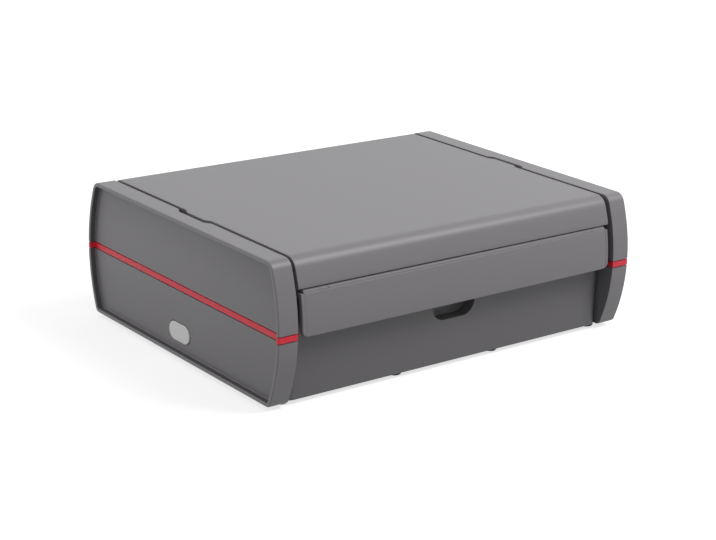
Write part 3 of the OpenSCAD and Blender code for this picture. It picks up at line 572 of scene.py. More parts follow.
def facet(mesh, corners):
    """A face on its corners, without the ones that stand twice."""
    unique = list(dict.fromkeys(corners))
    if len(unique) > 2:
        mesh.faces.new(unique)


def skin(mesh, rings):
    """Quads between closed rings of vertices with equal counts."""
    for a, b in zip(rings, rings[1:]):
        for j in range(len(a)):
            k = (j + 1) % len(a)
            facet(mesh, [a[j], a[k], b[k], b[j]])


def ring(mesh, points):
    """Vertices at points given in millimetres."""
    return [mesh.verts.new((x * MM, y * MM, z * MM)) for x, y, z in points]


def prism(mesh, outline, place):
    """A straight prism: place(u, v, side) gives a 3-D point for side 0 and 1."""
    ends = [ring(mesh, [place(u, v, side) for u, v in outline]) for side in (0, 1)]
    skin(mesh, ends)
    for end in ends:
        mesh.faces.new(end)


def make_piece(name, mesh, finish=None):
    """An object from a bmesh, with its normals facing out."""
    bmesh.ops.recalc_face_normals(mesh, faces=mesh.faces)
    data = bpy.data.meshes.new(name)
    mesh.to_mesh(data)
    mesh.free()
    piece = bpy.data.objects.new(name, data)
    bpy.context.scene.collection.objects.link(piece)
    if finish:
        data.materials.append(material(finish))
    return piece


def extruded(name, outline, axis, start, end, middle=(0.0, 0.0), finish=None):
    """A prism along one axis, with its outline about the middle in the other two."""

    def place(u, v, side):
        point = [middle[0] + u, middle[1] + v]
        point.insert(axis, end if side else start)
        return point

    mesh = bmesh.new()
    prism(mesh, outline, place)
    return make_piece(name, mesh, finish)


def pair(name, outline, middle, width, finish=None):
    """Two like prisms along x, one at each side of the box's middle."""
    mesh = bmesh.new()
    for side in (-1, 1):
        prism(mesh, outline, lambda u, v, s: (side * (middle - width / 2 + width * s), u, v))
    return make_piece(name, mesh, finish)


def baked(piece):
    """Turns the piece's modifiers into its mesh."""
    depsgraph = bpy.context.evaluated_depsgraph_get()
    data = bpy.data.meshes.new_from_object(piece.evaluated_get(depsgraph))
    piece.modifiers.clear()
    old, piece.data = piece.data, data
    data.name = piece.name
    bpy.data.meshes.remove(old)
    return piece


def combine(piece, tool, operation="DIFFERENCE"):
    """Cuts the tool from the piece, or adds it, and removes the tool."""
    step = piece.modifiers.new("cut", "BOOLEAN")
    step.object = tool
    step.operation = operation
    step.solver = "EXACT"
    baked(piece)
    bpy.data.objects.remove(tool)
    return piece


def edited(piece, change):
    """Runs a change on the piece's mesh as a bmesh."""
    mesh = bmesh.new()
    mesh.from_mesh(piece.data)
    change(mesh)
    mesh.to_mesh(piece.data)
    mesh.free()
    return piece


def clean(piece, distance=0.002):
    """Merges doubled vertices and drops slivers."""

    def change(mesh):
        bmesh.ops.remove_doubles(mesh, verts=mesh.verts, dist=distance * MM)
        bmesh.ops.dissolve_degenerate(mesh, dist=distance * MM, edges=mesh.edges)

    return edited(piece, change)


def round_edges(piece, width, test=None, segments=3, angle=35.0):
    """Rounds the sharp edges, or those of them whose middle passes the test, in millimetres."""

    def sharp(edge):
        if len(edge.link_faces) != 2 or edge.calc_face_angle(0.0) <= math.radians(angle):
            return False
        return test is None or test((edge.verts[0].co + edge.verts[1].co) / 2 / MM)

    def change(mesh):
        bmesh.ops.bevel(
            mesh,
            geom=[edge for edge in mesh.edges if sharp(edge)],
            offset=width * MM,
            segments=segments,
            profile=0.5,
            affect="EDGES",
            clamp_overlap=True,
        )

    return edited(piece, change)


def smooth(piece, angle=32.0):
    """Smooth shading that keeps real edges and flat faces."""
    piece.data.shade_smooth()
    piece.data.set_sharp_from_angle(angle=math.radians(angle))
    step = piece.modifiers.new("normals", "WEIGHTED_NORMAL")
    step.keep_sharp = True
    step.weight = 80
    return piece


def seat(piece, body, nodes):
    """Puts the piece on its body, in place of its CAD nodes."""
    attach(piece, body)
    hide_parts(*nodes)
    return piece


def copy_node(node, name, finish, bevel, segments):
    """A piece with a CAD node's shape and softened edges."""
    source = frame["nodes"][node]
    piece = bpy.data.objects.new(name, source.data.copy())
    bpy.context.scene.collection.objects.link(piece)
    piece.data.materials.clear()
    piece.data.materials.append(material(finish))

    def change(mesh):
        bmesh.ops.remove_doubles(mesh, verts=mesh.verts, dist=0.001 * MM)
        flat = math.radians(0.4)
        bmesh.ops.dissolve_limit(
            mesh, angle_limit=flat, use_dissolve_boundaries=False, verts=mesh.verts, edges=mesh.edges
        )

    edited(piece, change)
    for attribute in [a.name for a in piece.data.attributes if a.name.startswith("custom_normal")]:
        piece.data.attributes.remove(piece.data.attributes[attribute])
    step = piece.modifiers.new("soft_edges", "BEVEL")
    step.width = bevel * MM
    step.segments = segments
    step.limit_method = "ANGLE"
    step.angle_limit = math.radians(40.0)
    return smooth(baked(piece))


# ---------------------------------------------------------------- the mouldings


def tab_reach(sizes, y, grow):
    """How far the lid's side tab, grown by a gap, stands out at y, from 0 to 1."""
    half = sizes.tab_length / 2 + 1.4 * grow
    t = min(1.0, max(0.0, (half + sizes.tab_slant - abs(y)) / sizes.tab_slant))
    soft = 0.12
    if t < soft:
        return t * t / (2 * soft) / (1 - soft)
    if t > 1 - soft:
        return 1 - (1 - t) ** 2 / (2 * soft) / (1 - soft)
    return (t - soft / 2) / (1 - soft)


# y of the points along a flat top, dense where the tabs are
TAB_YS = [k * 0.5 for k in range(-40, 41)] + [k * 4.0 for k in range(-22, 23) if abs(k) > 5]


def cheek(sizes, name, side):
    """One side cheek: a barrel-shaped moulding with a recess outside and a notch for the lid's tab."""
    x_in, x_out = CHEEK_LOW[0] - sizes.cheek_in, CHEEK_HIGH[0]
    edge, crisp, rim, floor = sizes.edge_round, sizes.inner_edge, sizes.rim, x_out - sizes.recess
    lip, draft, fillet = 0.45, 0.15, 0.35
    z_low, z_notch = CHEEK_LOW[2] - sizes.cheek_drop, Z_DECK - 1
    points, (first, last) = barrel(
        sizes, 0, z_low, CHEEK_HIGH[2], sizes.top_round, sizes.low_round, TAB_YS, TAB_YS
    )
    out = LID_HIGH[0] - x_in + sizes.lid_gap
    push = [0.0] * len(points)
    for j in range(first, last):
        push[j] = out * tab_reach(sizes, points[j][0], sizes.lid_gap)
    rings = []
    for s, c in quarter(5):
        flat = inset(points, crisp * (1 - s))
        rings.append([(x_in + crisp * (1 - c) + push[j], y, z) for j, (y, z) in enumerate(flat)])
    profile = [(x_out - edge * (1 - c), edge * (1 - s)) for s, c in reversed(quarter(5))]
    profile += [(x_out - lip * (1 - c), rim - lip * (1 - s)) for s, c in quarter(3)]
    walls = len(rings) + len(profile)
    profile += [(floor + fillet * (1 - s), rim + draft + fillet * (1 - c)) for s, c in quarter(4)]
    rings += [[(x, y, z) for y, z in inset(points, d)] for x, d in profile]
    mesh = bmesh.new()
    made = [ring(mesh, r) for r in rings]
    skin(mesh, made[:walls])
    outside = len(mesh.faces)
    # The recess's walls: material 1, painted shade.
    skin(mesh, made[walls - 1 : walls + 2])
    mesh.faces.ensure_lookup_table()
    for face in mesh.faces[outside:]:
        face.material_index = 1
    skin(mesh, made[walls + 1 :])
    # The recess floor: material 2, with painted shade along its rim.
    mesh.faces.new(made[-1]).material_index = 2
    start = made[0]
    notch = [j for j in range(first, last) if push[j] > 0]
    low, high = notch[0] - 1, notch[-1] + 1
    floor_out = {j: ring(mesh, [(x_in + push[j], points[j][0], z_notch)])[0] for j in range(low, high + 1)}
    floor_in = dict(floor_out)
    for j in notch:
        floor_in[j] = ring(mesh, [(x_in, points[j][0], z_notch)])[0]
    for j in range(low, high):
        mesh.faces.new([start[j], start[j + 1], floor_out[j + 1], floor_out[j]])
        facet(mesh, [floor_out[j], floor_out[j + 1], floor_in[j + 1], floor_in[j]])
    loop = start[: low + 1] + [floor_in[j] for j in range(low, high + 1)] + start[high:]
    # The inner face: material 3, painted shade.
    mesh.faces.new(loop).material_index = 3
    bmesh.ops.scale(mesh, vec=(side, 1, 1), verts=mesh.verts)
    piece = make_piece(name, mesh, "housing_grey")
    for finish in ("recess_grey", "panel_grey", "gap_grey"):
        piece.data.materials.append(material(finish))
    return piece


def stripe_path(sizes, depth):
    """Plan of the right stripe's outer line at some depth below the surface, as (x, y)."""
    x_in, x_out, y_out = CHEEK_LOW[0] - sizes.cheek_in, CHEEK_HIGH[0], STRIPE_HIGH[1]
    floor, y_rim = x_out - sizes.recess, y_out - sizes.rim
    near, far = [max(r - depth, 0.02) for r in (sizes.inner_edge, sizes.edge_round)]
    line = [(x_in + depth, y_out - sizes.stripe_leg)]
    line += [(x_in + depth + near * (1 - c), y_out - depth - near * (1 - s)) for s, c in quarter(5)]
    line += [(x_out - depth - far * (1 - s), y_out - depth - far * (1 - c)) for s, c in quarter(5)]
    return line + [(x_out - depth, y_rim + depth), (floor - depth, y_rim + depth)]


def stripe_solid(sizes, name, side, top, bottom, grow, finish=None):
    """The stripe between two depths, or the cutter of its groove, as a prism."""
    sides = []
    for depth in (top, bottom):
        line = stripe_path(sizes, depth)
        line[0] = (line[0][0], line[0][1] - grow)
        sides.append([(side * x, y) for x, y in line] + [(side * x, -y) for x, y in reversed(line)])
    z_mid = (STRIPE_LOW[2] + STRIPE_HIGH[2]) / 2 - sizes.stripe_drop
    half = (STRIPE_HIGH[2] - STRIPE_LOW[2]) / 2 + grow
    return extruded(name, sides[0] + sides[1][::-1], 2, z_mid - half, z_mid + half, finish=finish)


def inlet_opening():
    """Middle and size of the inlet's opening in the left cheek, each as y and z."""
    flange = 2.0
    middle = [(INLET_LOW[i] + INLET_HIGH[i]) / 2 for i in (1, 2)]
    return middle, [INLET_HIGH[i] - INLET_LOW[i] - 2 * flange for i in (1, 2)]


def make_cheeks(sizes):
    """Both cheeks with the groove of the stripe, and the inlet's opening in the left one."""
    for side, label in ((-1, "left"), (1, "right")):
        piece = cheek(sizes, f"{label}_side_cheek", side)
        combine(piece, stripe_solid(sizes, "groove", side, -0.5, sizes.stripe_thick, sizes.seam))
        if side < 0:
            (y, z), (wide, tall) = inlet_opening()
            start, depth, floor, margin = -CHEEK_LOW[0] - 4, 12, sizes.recess - CHEEK_HIGH[0], 1.5
            combine(piece, extruded("hole", stadium(wide, tall), 0, start, start - depth, (y, z)))

            def at_opening(p):
                near = abs(p.y - y) < wide / 2 + margin and abs(p.z - z) < tall / 2 + margin
                return near and abs(p.x - floor) < 0.05

            round_edges(clean(piece), 0.4, at_opening)
        seat(smooth(clean(piece)), "base", [f"{label}_cheek"])


def make_stripes(sizes):
    """The red stripes, set into their grooves."""
    for side, label in ((-1, "left"), (1, "right")):
        name, depth = f"{label}_red_stripe", sizes.stripe_thick - 0.02
        piece = stripe_solid(sizes, name, side, 0.0, depth, 0.0, "stripe_red")
        round_edges(piece, 0.18, segments=2, angle=60.0)
        seat(smooth(piece), "base", [f"{label}_stripe"])


def lid_step(sizes):
    """Where the lid steps in over the flap's roll, as y and z, and the height of the lid's lower face."""
    return FLAP_AXIS[1] + sizes.flap_axis + 0.4, FLAP_AXIS[2] + sizes.flap_axis + 0.12, Z_DECK + 0.4


def lid_outline(sizes):
    """The lid's side view, with a weight for how much its end rounding takes off each point."""
    y_lip, z_front, z_low = lid_step(sizes)
    (points, (first, last)), (behind, (rear_end, _)) = [
        barrel(sizes, sizes.shell_set, CHEEK_LOW[2], LID_HIGH[2], r, 0, TAB_YS)
        for r in (sizes.lid_round, sizes.lid_rear)
    ]
    roll, r, chamfer = sizes.hinge_roll, sizes.step_round, 0.4
    rear = [p for p in behind[:rear_end] if p[1] > LID_AXIS[2]]
    front = [p for p in points[last:] if p[1] > z_front + r + r * p[3]]
    lean = math.asin(front[-1][3])
    step = arc(front[-1][0] + r * math.cos(lean), z_front + r, r, math.pi - lean, 1.5 * math.pi, 8)
    shape = [(*p, 0.5) for p in arc(LID_AXIS[1], LID_AXIS[2], roll, math.pi, 2 * math.pi, 12)]
    shape += [(*p, 1.0) for p in rear]
    top = (len(shape), len(shape) + last - first)
    shape += [(*p, 1.0) for p in points[first:last] + front] + [(*p, 0.6) for p in step[1:]]
    shape += [(y_lip, z_front, 0.0, -1.0, 0.3), (y_lip, z_low + chamfer, -1.0, 0.0, 0.3)]
    shape += [(y_lip + chamfer, z_low, 0.0, -1.0, 0.3)]
    low = (len(shape), len(shape) + last - first)
    shape += [(y, z_low, 0.0, -1.0, 0.3) for y in sorted(p[0] for p in points[first:last])]
    y_rear = LID_AXIS[1] - roll
    shape += [(y_rear - chamfer, z_low, 0.0, -1.0, 0.3), (y_rear, z_low + chamfer, 1.0, 0.0, 0.3)]
    return shape, top, low


def make_lid(sizes):
    """The lid's shell with its side tabs, hollow below, and the knuckles of the flap's rod."""
    shape, top, low = lid_outline(sizes)
    x_lid, wall, edge = CHEEK_LOW[0] - sizes.lid_gap, sizes.lid_wall, sizes.lid_edge
    out = LID_HIGH[0] - x_lid
    push = {j: out * tab_reach(sizes, shape[j][0], 0.0) for span in (top, low) for j in range(*span)}
    steps = [(x_lid - 8.0, 0.0, 0.0)] + [(x_lid - edge * (1 - s), edge * (1 - c), 1.0) for s, c in quarter(5)]
    rings = []
    for side in (-1, 1):
        bundle = [
            [
                (side * (x + reach * push.get(j, 0.0)), y - d * w * ny, z - d * w * nz)
                for j, (y, z, ny, nz, w) in enumerate(shape)
            ]
            for x, d, reach in steps
        ]
        rings += bundle[::side]
    mesh = bmesh.new()
    made = [ring(mesh, r) for r in rings]
    skin(mesh, made)
    (t0, t1), (b0, b1) = top, low
    for end in (made[0], made[-1]):
        for k in range(t1 - t0 - 1):
            mesh.faces.new([end[t0 + k], end[t0 + k + 1], end[b1 - 2 - k], end[b1 - 1 - k]])
        mesh.faces.new(end[t1 - 1 : b0 + 1])
        mesh.faces.new(end[b1 - 1 :] + end[: t0 + 1])
    piece = make_piece("lid_moulding", mesh, "housing_grey")
    y_lip, _, z_low = lid_step(sizes)
    y0, y1 = y_lip + wall, LID_AXIS[1] - sizes.hinge_roll - wall
    outline = round_rect(2 * (x_lid - wall), y1 - y0, 2.0, 6)
    middle = (0.0, (y0 + y1) / 2)
    combine(piece, extruded("hollow", outline, 2, LID_LOW[2] - 5, LID_HIGH[2] - wall, middle))

    def at_hollow(p):
        inside = abs(p.x) < x_lid - wall + 0.1 and y0 - 0.1 < p.y < y1 + 0.1
        return inside and abs(p.z - z_low) < 0.05

    round_edges(clean(piece), 0.5, at_hollow, 2)
    y, z, root = FLAP_AXIS[1], FLAP_AXIS[2], 1.4
    web = y + sizes.flap_axis + 0.9
    loop = turn(y, z, sizes.knuckle_round, 52.5, 307.5, 17)
    outline = [(web, z + root), *loop, (web, z - root)]
    knuckles = pair("lid_knuckles", outline, sizes.knuckle_place, sizes.knuckle_width, "flap_grey")
    round_edges(knuckles, 0.25, segments=2, angle=60.0)
    smooth(knuckles)
    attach(knuckles, "lid")
    seat(smooth(clean(piece)), "lid", ["lid_shell"])


def along(line, z):
    """The point and normal of a bowed wall at height z, between the line's points."""
    for a, b in zip(line, line[1:]):
        if a[1] >= z >= b[1]:
            t = (a[1] - z) / (a[1] - b[1])
            return [a[i] + (b[i] - a[i]) * t for i in range(4)]
    raise ValueError("height outside the bowed wall")


def flap_section(sizes, front, x, d, top):
    """Closed section of the flap at x, set in by d and cut at top: over the roll, down outside, up inside."""
    y_axis, z_axis = FLAP_AXIS[1:]
    thick, roll, edge, corner = sizes.flap_thick, sizes.flap_roll, sizes.flap_edge, FLAP_CORNER
    lip, bevel, rows = 0.3, 0.4, 14
    z_face = z_axis + sizes.flap_ledge
    over = max(0.0, abs(x) - (FLAP_HIGH[0] - corner))
    foot = FLAP_LOW[2] + corner - math.sqrt(max(0.0, corner**2 - over**2)) + d
    end = 180 - math.degrees(math.asin((sizes.flap_ledge + d) / roll))
    line = turn(y_axis, z_axis, roll - d, -88, end, 16)
    y = along(front, z_face - lip)[0]
    line += turn(y + d + lip, z_face - d - lip, lip, 90, 180, 4)
    low = foot + edge
    reach = z_face - d - lip - 0.1 - low
    for k in range(rows + 1):
        y, z, ny, nz = along(front, low + reach * (1 - k / rows))
        line.append((y - d * ny, z - d * nz))
    y, z, ny, nz = along(front, low)
    for s, c in quarter(7)[1:]:
        line.append((y - (edge - (edge - d) * c) * ny, z - (edge - d) * s))
    line += [(y - (thick - bevel) * ny, z - edge + d), (y - (thick - d) * ny, z - edge + bevel)]
    reach = z_axis - roll - 0.15 - low
    for k in range(rows + 1):
        y, z, ny, nz = along(front, low + reach * k / rows)
        line.append((y - (thick - d) * ny, z - (thick - d) * nz))
    return [(y, min(z, top)) for y, z in line]


def make_flap(sizes):
    """The latch flap: a bowed strip with a rolled upper edge, round lower corners and two hooks."""
    y_axis, z_axis = FLAP_AXIS[1:]
    x_flap, roll, edge = FLAP_HIGH[0], sizes.flap_roll, sizes.flap_edge
    x_roll, x_corner, cut = x_flap - sizes.end_notch, x_flap - FLAP_CORNER, z_axis + sizes.flap_ledge
    points, _ = barrel(sizes, sizes.shell_set, CHEEK_LOW[2], CHEEK_HIGH[2], 0.0, 0.0)
    front = sorted([p for p in points if p[0] < 0 and abs(p[3]) < 0.999], key=lambda p: -p[1])
    soft, x_curve = 0.3, x_corner + 2.4
    rows = [(x_roll - 8, 0.0, math.inf), (x_roll - soft, 0.0, math.inf), (x_roll, 0.25, math.inf)]
    rows += [(x_roll, 0.25, cut - soft), (x_roll + soft, 0.0, cut), (x_curve, 0.0, cut)]
    corner_xs = [x_flap - FLAP_CORNER * (1 - s) for s, c in quarter(8)[1:]]
    rows += [(x, 0.0, cut) for x in corner_xs if x_curve < x < x_flap - edge]
    rows += [(x_flap - edge * (1 - s), edge * (1 - c), cut - edge * (1 - c)) for s, c in quarter(5)]
    rings = []
    for side in (-1, 1):
        bundle = [[(side * x, *p) for p in flap_section(sizes, front, x, d, top)] for x, d, top in rows]
        rings += bundle[::side]
    mesh = bmesh.new()
    made = [ring(mesh, r) for r in rings]
    skin(mesh, made)
    mesh.faces.new(made[0])
    mesh.faces.new(made[-1])
    piece = clean(make_piece("latch_flap", mesh, "flap_grey"), 0.05)
    room, y_back = roll + 0.4, y_axis + 9.0
    outline = turn(y_axis, z_axis, roll + 0.05, 90, 270, 12)
    outline += [(y_back, z_axis - room), (y_back, z_axis + room)]
    width = sizes.knuckle_width + 2 * sizes.knuckle_gap
    combine(piece, pair("knuckle_room", outline, sizes.knuckle_place, width))
    seat(smooth(clean(piece), 40.0), "flap", ["front_flap"])
    clear, tall, root, nose = 1.9, 3.0, 1.6, 1.6
    z_hook, y_hook = z_axis - sizes.hook_drop, -sizes.tub_front - clear
    y_root = along(front, z_hook - tall / 2)[0] + root
    outline = [(y_root, z_hook - tall), (y_hook - 1.0, z_hook - tall), (y_hook, z_hook - nose)]
    outline += [(y_hook, z_hook), (y_root, z_hook)]
    hooks = pair("latch_hooks", outline, sizes.latch_place, sizes.hook_width, "housing_grey")
    round_edges(hooks, 0.3, segments=2, angle=20.0)
    smooth(hooks)
    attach(hooks, "flap")


def make_tub(sizes):
    """The tub: rounded front corners, a rounded sill, a bowed rear wall, the finger cut-out and catches."""
    x_half, y_front = CHEEK_LOW[0], -sizes.tub_front
    trough_deep, shelf_deep, shelf_thick, pocket_wall, beyond = 2.4, 2.5, 2.2, 1.8, 200
    z_low, z_top, z_seat = CHEEK_LOW[2] - sizes.tub_drop, Z_DECK, Z_DECK - trough_deep
    wall, sill, levels = sizes.tub_wall, sizes.sill_round, 24
    points, _ = barrel(sizes, sizes.shell_set, z_low, CHEEK_HIGH[2], 0.0, 0.0)
    rear = sorted([p for p in points if p[0] > 0], key=lambda p: -p[1])

    def level(z, d, x_in=0.0):
        """Ring of the outer face at height z, set in by d for the sill."""
        y_rear = along(rear, max(z, rear[-1][1]))[0] - d
        return [(x, y, z) for x, y in rounded_front(x_half - x_in, y_front, y_rear, sizes.tub_round, d)]

    rings = [level(z_low + sill * (1 - c), sill * (1 - s)) for s, c in quarter(6)]
    rings += [level(z_low + sill + (z_top - z_low - sill) * k / levels, 0.0) for k in range(1, levels + 1)]
    rings.append(level(z_top, wall, wall))
    rise_in = z_top - z_low - wall
    rings += [level(z_low + wall + rise_in * k / levels, wall, wall) for k in range(levels, -1, -1)]
    mesh = bmesh.new()
    made = [ring(mesh, r) for r in rings]
    skin(mesh, made)
    mesh.faces.new(made[0])
    mesh.faces.new(made[-1])
    piece = make_piece("tub_moulding", mesh, "tub_grey")
    y_trough, half = LID_AXIS[1] - sizes.hinge_roll - 0.5, sizes.finger_width / 2
    deep = sizes.finger_depth

    def box(name, low, high):
        corners = [(low[0], low[1]), (high[0], low[1]), (high[0], high[1]), (low[0], high[1])]
        return extruded(name, corners, 2, low[2], high[2])

    def finger(name, grow, y0, y1):
        low, high, r = sizes.finger_low - grow, sizes.finger_high + grow, sizes.finger_round + grow
        return extruded(name, rounded_front(half + grow, low, high, r, steps=12), 1, y0, y1)

    def at_finger(y_edge):
        """A test for the cut-out's edges in the plane y_edge."""
        low, high = sizes.finger_low - 1, sizes.finger_high + 1
        return lambda p: abs(p.y - y_edge) < 0.05 and abs(p.x) < half + 1 and low < p.z < high

    combine(piece, box("trough", (-beyond, y_trough, z_seat), (beyond, beyond, beyond)))
    x_shelf, y_shelf = x_half - 1, 100.5
    shelf = box("shelf", (-x_shelf, y_trough - shelf_deep, z_seat - shelf_thick), (x_shelf, y_shelf, z_seat))
    combine(piece, shelf, "UNION")
    combine(piece, finger("pocket", pocket_wall, y_front + 1, y_front + deep + pocket_wall), "UNION")
    combine(piece, finger("opening", 0.0, y_front - 5, y_front + deep))
    clean(piece)
    round_edges(piece, 0.9, at_finger(y_front), 4)
    round_edges(piece, 1.2, at_finger(y_front + deep))

    def at_top(p):
        return abs(p.z - z_top) < 0.05 or (abs(p.z - z_seat) < 0.05 and p.y > y_trough)

    round_edges(piece, 0.4, at_top, 2)
    reach, tall, nose, slant = 3.4, 2.5, 0.9, 0.8
    z_catch, y_root, y_tip = FLAP_AXIS[2] - sizes.catch_drop, y_front + 0.3, y_front - reach
    outline = [(y_root, z_catch), (y_tip, z_catch), (y_tip, z_catch + nose)]
    outline += [(y_tip + slant, z_catch + tall), (y_root, z_catch + tall)]
    catches = pair("tub_catches", outline, sizes.latch_place, sizes.catch_width, "tub_grey")
    round_edges(catches, 0.25, segments=2, angle=20.0)
    smooth(catches)
    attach(catches, "base")
    seat(smooth(clean(piece)), "base", ["base_shell"])


def make_inlet(sizes):
    """The mains inlet, set back in a seam round its stopper."""
    piece = copy_node("power_inlet", "mains_inlet", "inlet_white", 0.35, 3)
    middle, (wide, tall) = inlet_opening()

    def slab(grow, start, end):
        face = INLET_LOW[0]
        return extruded("slab", stadium(wide + grow, tall + grow), 0, face + start, face + end, middle)

    combine(piece, combine(slab(2.0, -1.0, sizes.inlet_seam), slab(-1.4, -2.0, 9.0)))
    seat(smooth(clean(piece)), "base", ["power_inlet"])


def make_dish_cover(sizes):
    """The dish's lid, with a pressed panel and a round steam vent."""
    piece = copy_node("dish_lid", "dish_cover", "dish_lid_milky", 0.5, 3)
    low, high = in_mm(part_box("dish_lid"))
    x, y = (low[0] + high[0]) / 2, (low[1] + high[1]) / 2
    top, press, vent, border = high[2], sizes.cover_press, sizes.vent_round, sizes.cover_border
    wide, deep = high[0] - low[0] - 2 * border, high[1] - low[1] - 2 * border
    vent_middle = (x + wide / 2 - 2.6 * vent, y + deep / 2 - 2.6 * vent)

    def block(outline, depth, height, middle):
        return extruded("block", outline, 2, top - depth * press, top + height, middle)

    def disc(share, depth, height):
        r = share * vent
        return block(round_rect(2 * r, 2 * r, r), depth, height, vent_middle)

    panel = block(round_rect(wide, deep, sizes.cover_corner), 1, 1, (x, y))
    combine(piece, combine(panel, disc(1, 2, 2)))
    combine(piece, combine(disc(0.85, 0.6, 1), disc(0.65, 3, 3)))

    def inside(p):
        reach = [(high[i] - low[i] - border) / 2 for i in (0, 1)]
        return p.z > top - 1.2 * press and abs(p.x - x) < reach[0] and abs(p.y - y) < reach[1]

    round_edges(clean(piece), 0.15, inside, 2)
    seat(smooth(piece), "base", ["dish_lid"])


# CAD nodes whose shape is right but for its edges: node, piece, material, bevel, steps, body, slot
SMALL_PARTS = (
    ("inlet_pins", "mains_pins", "pin_brass", 0.4, 3, "base", "pin_brass"),
    ("inlet_stopper", "socket_stopper", "stopper_white", 0.45, 4, "stopper", "stopper_white"),
    ("rubber_feet", "feet", "foot_rubber", 0.35, 3, "base", "foot_rubber"),
    ("deck_screws", "deck_fixings", "zinc_steel", 0.25, 2, "base", "screw_steel"),
)
INSIDE_PARTS = (
    ("deck_frame", "deck_plate", "housing_grey", 0.4, 2, "base", "grey_plastic"),
    ("lid_liner", "lid_inner_panel", "lid_liner_dark", 0.3, 2, "lid", "lid_liner_plastic"),
    ("lid_seal", "lid_gasket", "seal_grey", 0.5, 3, "lid", "seal_grey"),
)


def seat_copies(rows):
    """Seats a softened copy of each listed CAD node."""
    for node, name, finish, bevel, segments, body, slot in rows:
        seat(copy_node(node, name, finish, bevel, segments), body, [node])


# CAD nodes that show as they are, each with its material
CARRIED = {
    "cavity_liner": "liner_alloy",
    "food_dish": "dish_steel",
    "dish_seal": "seal_red",
    "heater_plate": "plate_alloy",
    "heater_element": "heating_film",
    "heater_insulation": "pad_felt",
    "lid_insulation": "pad_felt",
    "thermostat": "bakelite_black",
    "thermal_fuse": "glazed_ceramic",
    "control_board": "board_green",
    "board_parts": "relay_black",
    "inlet_wires": "wire_blue",
    "heater_wires": "wire_red",
    "cheek_screws": "zinc_steel",
    "lid_screws": "zinc_steel",
    "hinge_pins": "zinc_steel",
    "flap_rod": "zinc_steel",
}


def dress_carried():
    """Gives every CAD node that still shows its procedural material."""
    for node, finish in CARRIED.items():
        piece = frame["nodes"][node]
        for slot in piece.material_slots:
            slot.material = material(finish)


def seen_directly(s):
    """1 where the camera, a mirror or glass shows the surface, 0 where it only lights other things."""
    kinds = ["Is Camera Ray", "Is Glossy Ray", "Is Transmission Ray"]
    camera, glossy, through = [s.node("ShaderNodeLightPath", output=kind) for kind in kinds]
    return s.node("ShaderNodeMath", {"operation": "ADD", "use_clamp": True}, [camera + glossy, through])


def make_stage(look):
    """Pale floor, soft lamps and the camera."""
    data = bpy.data.meshes.new("floor")
    data.from_pydata([(-6, -6, 0), (6, -6, 0), (6, 6, 0), (-6, 6, 0)], [], [(0, 1, 2, 3)])
    floor = bpy.data.objects.new("floor", data)
    bpy.context.scene.collection.objects.link(floor)
    constants = {"Roughness": 0.9, "Specular IOR Level": 0.1, "Emission Strength": look.glow}
    s = Surface("floor_white", look.floor, constants)
    cloud = s.noise(3.0, 2.0)
    pale = s.blend(tint(look.floor, 0.99), tuple(look.floor), cloud)
    direct = seen_directly(s)
    s.set("Base Color", s.blend(tint(look.floor, look.bounce), pale, direct))
    s.set("Emission Color", s.blend((0.0, 0.0, 0.0), (1.0, 1.0, 1.0), direct))
    data.materials.append(s.material)

    world = bpy.data.worlds.new("studio")
    bpy.context.scene.world = world
    world.use_nodes = True
    s = Surface.of_tree(world.node_tree)
    back = world.node_tree.nodes["Background"]
    back.inputs["Color"].default_value = (1, 1, 1, 1)
    direct = seen_directly(s)
    s.feed(back.inputs["Strength"], direct + look.sky * (1.0 - direct))

    def lamp(name, place, target, size, power):
        data = bpy.data.lights.new(name, "AREA")
        data.shape = "RECTANGLE"
        data.size, data.size_y = size
        data.energy = power
        made = bpy.data.objects.new(name, data)
        made.location = place
        made.rotation_euler = (Vector(target) - Vector(place)).to_track_quat("-Z", "Y").to_euler()
        bpy.context.scene.collection.objects.link(made)

    lamp("overhead", (0.73, -0.73, 1.22), (0, 0, 0.05), (0.75, 0.75), look.key)
    lamp("side_fill", (-1.5, 1.0, 0.5), (0, 0, 0.05), (1.0, 0.8), look.fill)

    camera = bpy.data.objects.new("camera", bpy.data.cameras.new("camera"))
    bpy.context.scene.collection.objects.link(camera)
    camera.data.lens = look.lens
    camera.data.sensor_width = 36.0
    camera.data.sensor_fit = "HORIZONTAL"
    camera.data.clip_start = 0.01
    camera.data.clip_end = 50
    sy, cy = math.sin(look.yaw), math.cos(look.yaw)
    sp, cp = math.sin(look.pitch), math.cos(look.pitch)
    ahead = Vector((sy * cp, cy * cp, -sp))
    right = Vector((cy, -sy, 0.0))
    up = right.cross(ahead)
    turned_right = math.cos(look.roll) * right + math.sin(look.roll) * up
    turned_up = -math.sin(look.roll) * right + math.cos(look.roll) * up
    rows = [[turned_right[i], turned_up[i], -ahead[i], look.eye[i]] for i in range(3)] + [[0, 0, 0, 1]]
    camera.matrix_world = Matrix(rows)
    bpy.context.scene.camera = camera
    bpy.context.scene.view_settings.view_transform = "Standard"


# ---------------------------------------------------------------- operators


class LUNCH_OT_cheeks(bpy.types.Operator):
    """Build both side cheeks"""

    bl_idname = "lunch.cheeks"
    bl_label = "Side cheeks"

    def execute(self, context):
        make_cheeks(SizesInMm(context))
        return {"FINISHED"}


class LUNCH_OT_stripes(bpy.types.Operator):
    """Build the red stripes"""

    bl_idname = "lunch.stripes"
    bl_label = "Stripes"

    def execute(self, context):
        make_stripes(SizesInMm(context))
        return {"FINISHED"}


class LUNCH_OT_lid(bpy.types.Operator):
    """Build the lid's moulding"""

    bl_idname = "lunch.lid"
    bl_label = "Lid"

    def execute(self, context):
        make_lid(SizesInMm(context))
        return {"FINISHED"}


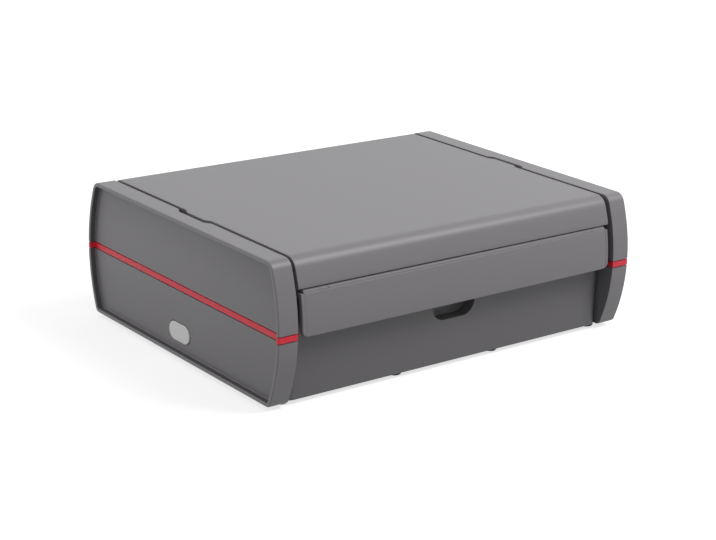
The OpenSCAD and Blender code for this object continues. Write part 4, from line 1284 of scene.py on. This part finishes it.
class LUNCH_OT_flap(bpy.types.Operator):
    """Build the latch flap"""

    bl_idname = "lunch.flap"
    bl_label = "Latch flap"

    def execute(self, context):
        make_flap(SizesInMm(context))
        return {"FINISHED"}


class LUNCH_OT_tub(bpy.types.Operator):
    """Build the tub"""

    bl_idname = "lunch.tub"
    bl_label = "Tub"

    def execute(self, context):
        make_tub(SizesInMm(context))
        return {"FINISHED"}


class LUNCH_OT_small(bpy.types.Operator):
    """Build the inlet, feet and screws"""

    bl_idname = "lunch.small"
    bl_label = "Inlet, feet and screws"

    def execute(self, context):
        make_inlet(SizesInMm(context))
        seat_copies(SMALL_PARTS)
        return {"FINISHED"}


class LUNCH_OT_inside(bpy.types.Operator):
    """Build the deck, the dish's lid and the lid's underside, and finish what stays from the frame"""

    bl_idname = "lunch.inside"
    bl_label = "Inside"

    def execute(self, context):
        make_dish_cover(SizesInMm(context))
        seat_copies(INSIDE_PARTS)
        dress_carried()
        return {"FINISHED"}


class LUNCH_OT_stage(bpy.types.Operator):
    """Build the floor, lamps and camera"""

    bl_idname = "lunch.stage"
    bl_label = "Stage"

    def execute(self, context):
        make_stage(context.scene.lunch_stage)
        return {"FINISHED"}


OPERATORS = (
    LUNCH_OT_stage,
    LUNCH_OT_cheeks,
    LUNCH_OT_stripes,
    LUNCH_OT_lid,
    LUNCH_OT_flap,
    LUNCH_OT_tub,
    LUNCH_OT_small,
    LUNCH_OT_inside,
)


class LUNCH_PT_panel(bpy.types.Panel):
    """Lists the builders and their settings"""

    bl_idname = "LUNCH_PT_panel"
    bl_label = "Lunch box"
    bl_space_type = "VIEW_3D"
    bl_region_type = "UI"
    bl_category = "Lunch box"

    def draw(self, context):
        for operator in OPERATORS:
            self.layout.operator(operator.bl_idname)
        for group in (context.scene.lunch_sizes, context.scene.lunch_finish, context.scene.lunch_stage):
            box = self.layout.box()
            for name in group.__annotations__:
                box.prop(group, name)


CLASSES = (LunchBoxSizes, LunchBoxFinish, LunchBoxStage, *OPERATORS, LUNCH_PT_panel)


def register():
    for item in CLASSES:
        bpy.utils.register_class(item)
    bpy.types.Scene.lunch_sizes = bpy.props.PointerProperty(type=LunchBoxSizes)
    bpy.types.Scene.lunch_finish = bpy.props.PointerProperty(type=LunchBoxFinish)
    bpy.types.Scene.lunch_stage = bpy.props.PointerProperty(type=LunchBoxStage)


def unregister():
    del bpy.types.Scene.lunch_stage
    del bpy.types.Scene.lunch_finish
    del bpy.types.Scene.lunch_sizes
    for item in reversed(CLASSES):
        bpy.utils.unregister_class(item)


def main():
    register()
    for operator in OPERATORS:
        getattr(bpy.ops.lunch, operator.bl_idname.split(".")[1])()


if __name__ == "__main__":
    main()
